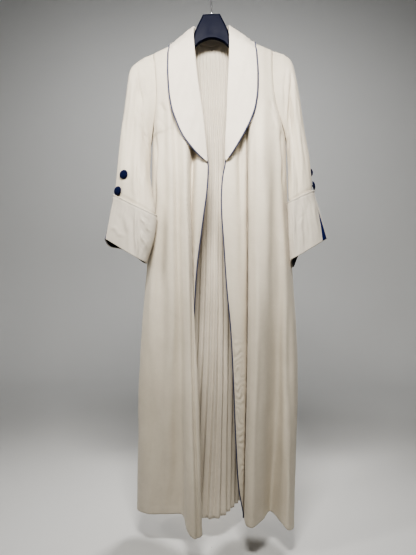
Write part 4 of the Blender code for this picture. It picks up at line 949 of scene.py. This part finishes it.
def buildCuff(side):
    # the turned-up band: round the sleeve from one edge of the slit to the other
    middle = cuffs["slit"][side]
    row = np.linspace(cuffs["top"], cuffs["foot"], cuffs["rows"])[:, None]
    gap = np.interp(row, *zip(*cuffs["open"]))
    around = middle + gap + (1 - 2 * gap) * np.linspace(0, 1, cuffs["columns"])[None]
    row, around = np.broadcast_arrays(row, around)
    points, normals = cuffLayer(side, row, around, np.full(row.shape, cuffs["offset"]))
    facing = smoothStep(0.05, 0.5, -normals[..., 1])
    relief = creased(points[..., 0], -points[..., 2], cuffs["folds"][side]) * facing
    relief = relief + creased(np.mod(around, 1), row / 10, cuffs["foldsBehind"][side])
    seed = 61 if side == "right" else 62
    ripple = waves(np.cos(2 * pi * around) * 2, row / 1.5 + np.sin(2 * pi * around), seed)
    relief = np.maximum(relief + cuffs["ripple"] * ripple, cuffs["deepest"])
    topWay = (row - cuffs["top"]) * cuffs["rowLength"]
    relief = relief * smoothStep(0, 14, topWay)
    relief = relief + cuffs["topFlare"] * np.exp(-topWay / cuffs["flareFade"])
    relief = relief - cuffs["topGroove"] * np.exp(-((topWay - cuffs["topGrooveWay"]) / 1.6)**2)
    points, normals = cuffLayer(side, row, around, cuffs["offset"] + relief)
    piece = clothGrid(f"cuffBand_{side}", points, normals, cuffs["thick"])
    finished(piece, "cuff_crepe", "cuffCrepePaintedDarker", f"cuff_{side}")
    stitch = cuffs["stitch"]
    line = np.argmin(np.abs(topWay[:, 0] - stitch["from"]))
    seat = points[line] + normals[line] * cuffs["thick"] / 2
    thread = stitchMesh(f"cuffStitches_{side}", seat, normals[line], stitch["pitch"], stitch["length"],
                        stitch["radius"])
    finished(thread, "cuff_crepe", "crepeThread")
    print("cuff", side, "area", round(sheetArea(points), 3))
    return piece


def buildFacing(side):
    # the navy triangle that shows in the slit
    middle = cuffs["slit"][side]
    row = np.linspace(8.5, 10, 40)[:, None]
    reach = np.interp(row, *zip(*cuffs["facingReach"]))
    around = middle + reach * np.linspace(-1, 1, 25)[None]
    row, around = np.broadcast_arrays(row, around)
    offset = cuffs["facingOffset"] + 0.15 * waves(around * 20, row, 71)
    points, normals = cuffLayer(side, row, around, offset)
    piece = clothGrid(f"slitFacingCloth_{side}", points, normals, cuffs["innerThick"])
    finished(piece, "navy_facing", "navyFacing", f"slit_facing_{side}")
    print("facing", side, "area", round(sheetArea(points), 4))
    return piece


def buildLining(side):
    # the dark band inside the sleeve's end
    row = np.linspace(8.0, 9.99, 40)[:, None]
    around = np.arange(120)[None] / 120
    row, around = np.broadcast_arrays(row, around)
    offset = cuffs["liningOffset"] + 0.2 * np.minimum(waves(around * 9, row / 1.3, 72), 0)
    points, normals = cuffLayer(side, row, around, offset)
    piece = clothGrid(f"cuffLiningCloth_{side}", points, normals, cuffs["innerThick"], tube=True)
    finished(piece, "black_lining", "blackLining", f"cuff_lining_{side}")
    print("lining", side, "area", round(sheetArea(points, True), 4))
    return piece


button = {              # radius and height of the turned profile, from the middle of the dome down
    "profile": ((0, 8.3), (3, 8.15), (6, 7.55), (8.6, 6.7), (10.6, 5.6), (11.9, 4.4), (12.45, 3.3),
                (12.2, 2.7), (11.4, 2.5), (10.9, 2.9), (10.2, 2.55), (5, 2.3), (2.4, 2.0), (2.3, 0.3),
                (0, 0.2)),
    "around": 40, "gathers": 0.16,
}


def buildButton(node):
    # turned about the axis of its solid, which is the way that the solid's points vary least
    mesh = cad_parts[node].data
    places = np.empty(len(mesh.vertices) * 3, np.float32)
    mesh.vertices.foreach_get("co", places)
    places = places.reshape(-1, 3).astype(float) / mm
    middle = places.mean(0)
    axis = np.linalg.svd(places - middle, full_matrices=False)[2][2]
    sign = 1 if "left" in node else -1
    axis = axis * (1 if axis[0] * sign > 0 or (abs(axis[0]) < 0.5 and axis[1] < 0) else -1)
    reach = (places - middle) @ axis
    wide = np.linalg.norm((places - middle) - reach[:, None] * axis, axis=1)
    rimHeight = reach[wide > 0.9 * wide.max()].mean()
    if rimHeight - reach.min() > reach.max() - rimHeight + 2:
        axis, reach = -axis, -reach
    seat = middle + axis * reach.min()
    side = unit(np.cross(axis, (0.1, 0.2, 1.0)))
    other = np.cross(axis, side)
    profile = np.array(button["profile"])
    at = np.linspace(0, len(profile) - 1, 46)
    turned = smoothCurve(np.arange(len(profile)), profile, at)
    turned[:, 0] = np.maximum(turned[:, 0], 0.05)
    angle = 2 * pi * np.arange(button["around"]) / button["around"]
    rim = smoothStep(10, 12.4, turned[:, 0])[:, None] * button["gathers"] * np.sin(11 * angle + 0.7)[None]
    radius = turned[:, :1] + rim
    points = (seat + axis * turned[:, 1][:, None, None] + side * (radius * np.cos(angle))[..., None]
              + other * (radius * np.sin(angle))[..., None])
    quads = gridFaces(len(turned), button["around"], True, False)
    flat = np.concatenate([(radius * np.cos(angle))[..., None], (radius * np.sin(angle))[..., None]], -1) * mm
    uv = flat.reshape(-1, 2)[quads]
    piece = makeMesh(f"coveredButton_{node[7:]}", points, quads.tolist(), uv)
    shape = piece.data
    normal = np.empty(len(shape.polygons) * 3, np.float32)
    shape.polygons.foreach_get("normal", normal)
    if (normal.reshape(-1, 3)[:200] @ axis).mean() < 0:
        shape.flip_normals()
    finished(piece, "navy_button_cloth", "navyButtonCloth", node)


# Collar

collar = {              # along, then x, y, drop of the rolled and of the piped edge
    "neckWay": 80, "alongSteps": 300, "across": 44, "thick": 1.2, "frontGap": 2.3, "backGap": 3.6,
    "pipingRadius": 1.5, "pipingGap": 2.6,
    "stations": (
        (-411, (-10, -50, 520), (-14, -55, 521)), (-392, (-13, -50, 493), (-40, -61, 497)),
        (-368, (-16, -49, 455), (-70, -65, 461)), (-328, (-21, -47, 402), (-97, -61, 404)),
        (-272, (-29, -45, 346), (-111, -55, 352)), (-210, (-38, -42, 282), (-117, -49, 290)),
        (-142, (-45, -34, 210), (-118, -40, 238)), (-98, (-49, -16, 155), (-117, -23, 200)),
        (-80, (-49, 4, 127), (-114, 1, 180)), (-40, (-37, 33, 120), (-80, 55, 194)),
        (0, (0, 47, 116), (0, 72, 191)), (40, (37, 33, 118), (84, 55, 189)),
        (80, (49, 4, 124), (119, 1, 174)), (98, (49, -16, 151), (121, -23, 194)),
        (146, (48, -34, 210), (124, -40, 240)), (214, (45, -41, 282), (125, -50, 290)),
        (274, (42, -44, 344), (122, -54, 345)), (332, (40, -46, 402), (109, -60, 398)),
        (374, (37, -49, 455), (83, -64, 452)), (397, (37, -50, 493), (58, -64, 494)),
        (414, (37, -51, 516), (41, -56, 518)),
    ),
    "creases": ((-78, 415, -38, 470, 9, -0.9), (-96, 350, -66, 400, 10, -0.7), (-60, 300, -34, 392, 9, 0.7),
                (58, 300, 44, 420, 8, 0.6), (98, 330, 76, 420, 9, -0.7)),
}


def clearOf(points, places, normals, gaps):
    # moved out along the normal of the nearest body point until the gap is kept, three times over
    moved = points.reshape(-1, 3).copy()
    for _ in range(3):
        for start in range(0, len(moved), 1500):
            part = moved[start:start + 1500]
            apart = ((part**2).sum(1)[:, None] - 2 * part @ places.T + (places**2).sum(1)[None])
            near = apart.argmin(1)
            height = ((part - places[near]) * normals[near]).sum(1)
            short = np.maximum(gaps[near] - height, 0)
            moved[start:start + 1500] = part + normals[near] * short[:, None]
    return moved.reshape(points.shape)


def bodyPoints(made, backMiddle, backNormals):
    places, normals, gaps = [], [], []
    for side in ("right", "left"):
        _, points, directions, v = made[side]
        top = v < 0.36
        places.append(points[top][::2, ::2].reshape(-1, 3))
        normals.append(directions[top][::2, ::2].reshape(-1, 3))
        gaps.append(np.full(len(places[-1]), float(collar["frontGap"])))
    high = backMiddle[:26, ::4].reshape(-1, 3)
    places.append(high)
    normals.append(backNormals[:26, ::4].reshape(-1, 3))
    gaps.append(np.full(len(high), float(collar["backGap"])))
    return np.concatenate(places), np.concatenate(normals), np.concatenate(gaps)


def collarFoot(along, made):
    # the seam: both front edges above the piping's start, and the back neck between them
    half, neckWay = body["neckHalf"], collar["neckWay"]
    corners = shoulder([-half, half])
    neck = np.concatenate([corners[:1], np.array(body["backNeck"], float) * (1, 1, -1), corners[1:]])
    foot = smoothCurve(np.linspace(-neckWay, neckWay, len(neck)), neck, np.clip(along, -neckWay, neckWay))
    foot[:, 2] += 1.3
    for side in ("right", "left"):
        sign = sides[side]["sign"]
        _, points, normals, v = made[side]
        edge = points[:, 0] + outwards(points[:, 0], points[:, 1]) * body["seam"] * 2
        place = neckWay + edge[0, 2] - edge[:, 2]
        own = along * sign > neckWay
        way = np.abs(along[own])
        foot[own] = np.stack([np.interp(way, place, edge[:, k]) for k in range(3)], 1)
    return foot


def buildCollar(made, backMiddle, backNormals):
    stations = collar["stations"]
    knots = [row[0] for row in stations]
    along = np.linspace(knots[0], knots[-1], collar["alongSteps"])
    roll, outer = (smoothCurve(knots, [row[k] for row in stations], along) * (1, 1, -1) for k in (1, 2))
    foot = collarFoot(along, made)
    toFoot, toOuter = unit(foot - roll), unit(outer - roll)
    rise = np.linalg.norm(foot - roll, axis=1, keepdims=True)
    width = np.linalg.norm(outer - roll, axis=1, keepdims=True)
    away = unit(-toFoot + (toFoot * toOuter).sum(1, keepdims=True) * toOuter)
    inner = roll + toFoot * np.minimum(4, rise / 2)
    over = roll + toOuter * np.minimum(4, width / 3) + away * 1.2
    rows = [foot + (inner - foot) * t for t in np.linspace(0, 1, 10)]
    for t in np.linspace(0, 1, 9)[1:-1]:           # the roll: a smooth bend from stand to fall
        rows.append((1 - t)**2 * inner + 2 * t * (1 - t) * (roll + away * 0.4) + t**2 * over)
    t = np.linspace(0, 1, collar["across"])[:, None, None]
    fall = over + (outer - over) * t + away * np.minimum(2.5, width / 8) * np.sin(pi * t)
    places, normals, gaps = bodyPoints(made, backMiddle, backNormals)
    fall = clearOf(fall, places, normals, gaps)
    points = np.concatenate([np.array(rows), fall])
    facing = gridNormals(points)
    if facing[-20, 60, 1] > 0:
        facing = -facing
    fallWay = np.zeros(points.shape[:2])
    fallWay[len(rows):] = t[:, 0]
    free = np.sin(pi * fallWay)
    relief = 0.6 * waves(points[..., 0] / 60, points[..., 2] / 90, 81) * free
    relief += creased(points[..., 0], -points[..., 2], collar["creases"]) * free * (points[..., 1] < 0)
    relief = np.maximum(relief, -0.8)
    points = points + facing * relief[..., None]
    piece = clothGrid("collarCloth", points, facing, collar["thick"])
    finished(piece, "collar_crepe", "collarCrepePaintedLighter", "collar")
    edge, beside = points[-1], points[-2]
    reach = collar["thick"] / 2 + 0.2 + collar["pipingRadius"]
    path = edge + outwards(edge, beside) * reach
    path = clearOf(path, places, normals, gaps - collar["frontGap"] + collar["pipingGap"])
    cord = cordMesh("collarPiping", path[2:-2], collar["pipingRadius"], normal=(0.05, 1, 0.1))
    finished(cord, "navy_piping", "pipingCloth", "piping_collar")
    print("collar area", round(sheetArea(points), 3))
    return piece


def buildEdgePiping(side, made):
    # down the front edge from the collar's point to the hem
    _, points, _, v = made[side]
    keep = v > body["pipingRow"]
    path = points[keep, 0] + outwards(points[:, 0], points[:, 1])[keep] * (0.35 + collar["pipingRadius"])
    cord = cordMesh(f"edgePiping_{side}", path, collar["pipingRadius"], normal=(0.05, 1, 0))
    finished(cord, "navy_piping", "pipingCloth", f"piping_{side}")


# Hanger and hook

hanger = {              # x, top, bottom, half thickness; past the plate the top follows the shoulder
    "stations": (
        (0, 94, 165, 8), (12, 94, 166.5, 8), (24, 94, 171, 8), (36, 118, 178, 8), (46.5, 140, 188, 8),
        (50, 153.5, 191, 7.5), (54, None, 193, 7), (84, None, 208, 7), (114, None, 222, 6.5),
        (164, None, 247, 5), (190, None, 261, 5), (208, None, 269, 5), (219, None, 272, 4),
        (223, None, 270, 2.5)),
    "plateHalf": 46.5, "rest": 1.7, "end": 172, "endDrop": 16, "bevel": 4.5, "bevelEdge": 0.42, "sharp": 38,
}


def hangerTop(x, top):
    if top is not None:
        return top - body["tilt"] * x
    beyond = max(abs(x) - hanger["end"], 0) / (223 - hanger["end"])
    return -shoulder(x)[2] + hanger["rest"] + hanger["endDrop"] * beyond**2


def buildHanger():
    # sections across X: flat faces with a bevel along the upper and lower edge
    half = hanger["stations"]
    both = [(-row[0],) + row[1:] for row in reversed(half[1:])] + list(half)
    knots = np.array([(x, hangerTop(x, top), low - body["tilt"] * x, thick) for x, top, low, thick in both])
    extra = np.concatenate([np.linspace(a, b, 9)[:-1] for a, b in zip(knots[:-1, 0], knots[1:, 0])]
                           + [knots[-1:, 0]])
    top, low, thick = (np.interp(extra, knots[:, 0], knots[:, k]) for k in (1, 2, 3))
    inPlate = np.abs(extra) < hanger["plateHalf"]
    low = np.where(inPlate, smoothCurve(knots[:, 0], knots[:, 2], extra), low)
    s = np.concatenate([np.linspace(0, 0.16, 7), np.linspace(0.2, 0.8, 9), np.linspace(0.84, 1, 7)])
    height = (low - top)[:, None]
    slope = np.abs(np.gradient(top, extra))[:, None]
    fromTop = s[None] * height / np.sqrt(1 + slope**2)
    fromLow = (1 - s[None]) * height
    edge = np.minimum(fromTop, fromLow) / hanger["bevel"]
    flat = hanger["bevelEdge"] + (1 - hanger["bevelEdge"]) * smoothStep(-0.2, 1.0, edge)
    flat = flat * np.where(edge < 0.12, np.sqrt(np.clip(edge / 0.12, 0.0, 1)), 1)
    y = thick[:, None] * flat
    z = -(top[:, None] + s[None] * height)
    frontFace = np.stack([np.broadcast_to(extra[:, None], y.shape), -y, z], -1)
    backFace = np.stack([np.broadcast_to(extra[:, None], y.shape), y, z], -1)[:, ::-1]
    ring = np.concatenate([frontFace, backFace[:, 1:-1]], 1)
    around = ring.shape[1]
    count = len(extra) * around
    caps = [list(range(around))[::-1], list(range(count - around, count))]
    piece = makeMesh("hangerPlate", ring, gridFaces(len(extra), around, True, False).tolist() + caps)
    piece.data.set_sharp_from_angle(angle=radians(hanger["sharp"]))
    finished(piece, "navy_plastic", "plastic", "hanger")


# radius of the wire and of the room inside the hook, its two end angles, and drops
hook = {"wire": 2.0, "inside": 16, "tip": 200, "leave": -48, "shaftTop": 47, "plateTop": 94}


def buildHook():
    # an arc over the rail, an S back to the middle, and the shaft into the plate
    radius = hook["inside"] + hook["wire"]
    angle = np.radians(np.linspace(hook["tip"], hook["leave"], 60))
    arc = np.stack([radius * np.cos(angle), 0 * angle, radius * np.sin(angle) - hook["inside"]], 1)
    end = arc[-1]
    t = np.linspace(0, 1, 30)[1:]
    bend = np.stack([end[0] * (1 - smoothStep(0, 1, t**0.8)), 0 * t,
                     end[2] + (-hook["shaftTop"] - end[2]) * t], 1)
    down = np.linspace(-hook["shaftTop"] - 3, -(hook["plateTop"] - 2.4), 14)
    shaft = np.stack([0 * down, 0 * down, down], 1)
    path = np.concatenate([arc, bend, shaft])
    cord = cordMesh("wireHook", path, hook["wire"], sides=20, normal=(0, 1, 0))
    finished(cord, "chromed_wire", "chrome", "hook")


# Build everything

made = buildFronts()
backPiece, backMiddle, backNormals = buildBack()
sleevePieces = {side: buildSleeve(side) for side in ("right", "left")}
cuffPieces = {side: buildCuff(side) for side in ("right", "left")}
facings = {side: buildFacing(side) for side in ("right", "left")}
linings = {side: buildLining(side) for side in ("right", "left")}
for side in ("right", "left"):
    for number in (1, 2):
        buildButton(f"button_{side}_{number}")
    buildEdgePiping(side, made)
collarPiece = buildCollar(made, backMiddle, backNormals)
buildHanger()
buildHook()
print("pieces made")

# Floor, light and camera

stage = {"floor": -1.60, "flat": 2.5, "bend": 1.0, "top": 2.4, "around": 96}


def buildStage():
    # a round floor that bends up into a high rim on all sides and is open to the sky
    t = np.linspace(0, pi / 2, 24)
    flat, bend = stage["flat"], stage["bend"]
    reach = np.concatenate([[0.001, 1.0], flat + bend * np.sin(t), [flat + bend]])
    height = np.concatenate([[0, 0], bend * (1 - np.cos(t)), [stage["top"] - stage["floor"]]])
    angle = 2 * pi * np.arange(stage["around"]) / stage["around"]
    points = np.stack([reach[:, None] * np.cos(angle), reach[:, None] * np.sin(angle),
                       np.broadcast_to(stage["floor"] + height[:, None], (len(reach), len(angle)))], -1) / mm
    faces = gridFaces(len(reach), len(angle), True, True)
    floor = makeMesh("studioFloor", points, faces.tolist())
    material, tree, shader = startMaterial("paleFloor", {"Roughness": 0.9})
    place = addNode(tree, "ShaderNodeTexCoord")
    cloud = addNode(tree, "ShaderNodeTexNoise", {"Scale": 1.3, "Detail": 2.0})
    tint = addNode(tree, "ShaderNodeMix", {"A": (0.70, 0.70, 0.69, 1), "B": (0.74, 0.74, 0.73, 1)},
                   data_type="RGBA")
    wire(tree, (place, "Object", cloud, "Vector"), (cloud, "Fac", tint, "Factor"),
         (tint, "Result", shader, "Base Color"))
    floor.data.materials.append(material)


# place, target, width and height in metres, watts, colour, spread in degrees
lights = {
    "keyLight": ((-0.04, -1.0, 0.16), (0, 0, -0.5), (0.36, 0.2), 7.9, (1, 0.98, 0.945), 100),
    "sideLight": ((-1.5, -0.75, 0.2), (0, 0, -0.65), (0.25, 0.5), 2.2, (1, 0.97, 0.92), 90),
    "backLight": ((0.9, 1.9, 0.45), (0, 0.1, -0.7), (0.8, 0.8), 9, (1, 0.98, 0.96), 75),
}
rimPowers = {(0, 1): 13, (1, 0): 7, (-1, 0): 7, (0, -1): 4}      # towards each side of the rim
for (x, y), power in rimPowers.items():
    lights[f"rimLight{x}{y}"] = ((1.3 * x, 1.3 * y, 1.5), (3.4 * x, 3.4 * y, -0.1), (1.2, 0.5), power,
                                 (1, 1, 1), 120)
view = {"focus": 513, "frameHeight": 555, "eye": (-0.0096, -1.45, -0.8375), "room": 0.11}


def areaLight(name, place, target, size, power, colour, spread):
    light = bpy.data.lights.new(name, "AREA")
    light.shape = "RECTANGLE"
    light.size, light.size_y = size
    light.energy = power
    light.color = colour
    light.spread = radians(spread)
    lamp = bpy.data.objects.new(name, light)
    lamp.location = place
    lamp.rotation_euler = (Vector(target) - Vector(place)).to_track_quat("-Z", "Y").to_euler()
    bpy.context.scene.collection.objects.link(lamp)


def buildView():
    # the photo's level camera: its focus and frame height are in pixels of the photo
    for name, light in lights.items():
        areaLight(name, *light)
    world = bpy.data.worlds.new("softRoom")
    world.use_nodes = True
    background = world.node_tree.nodes["Background"]
    background.inputs["Color"].default_value = (0.92, 0.94, 0.97, 1)
    background.inputs["Strength"].default_value = view["room"]
    bpy.context.scene.world = world
    bpy.context.scene.view_settings.look = "AgX - High Contrast"
    camera = bpy.data.cameras.new("camera")
    camera.sensor_width = 36
    camera.sensor_fit = "AUTO"
    camera.lens = 36 * view["focus"] / view["frameHeight"]
    eye = bpy.data.objects.new("camera", camera)
    eye.location = view["eye"]
    eye.rotation_euler = (pi / 2, 0, 0)
    bpy.context.scene.collection.objects.link(eye)
    bpy.context.scene.camera = eye


buildStage()
buildView()
print("stage made")
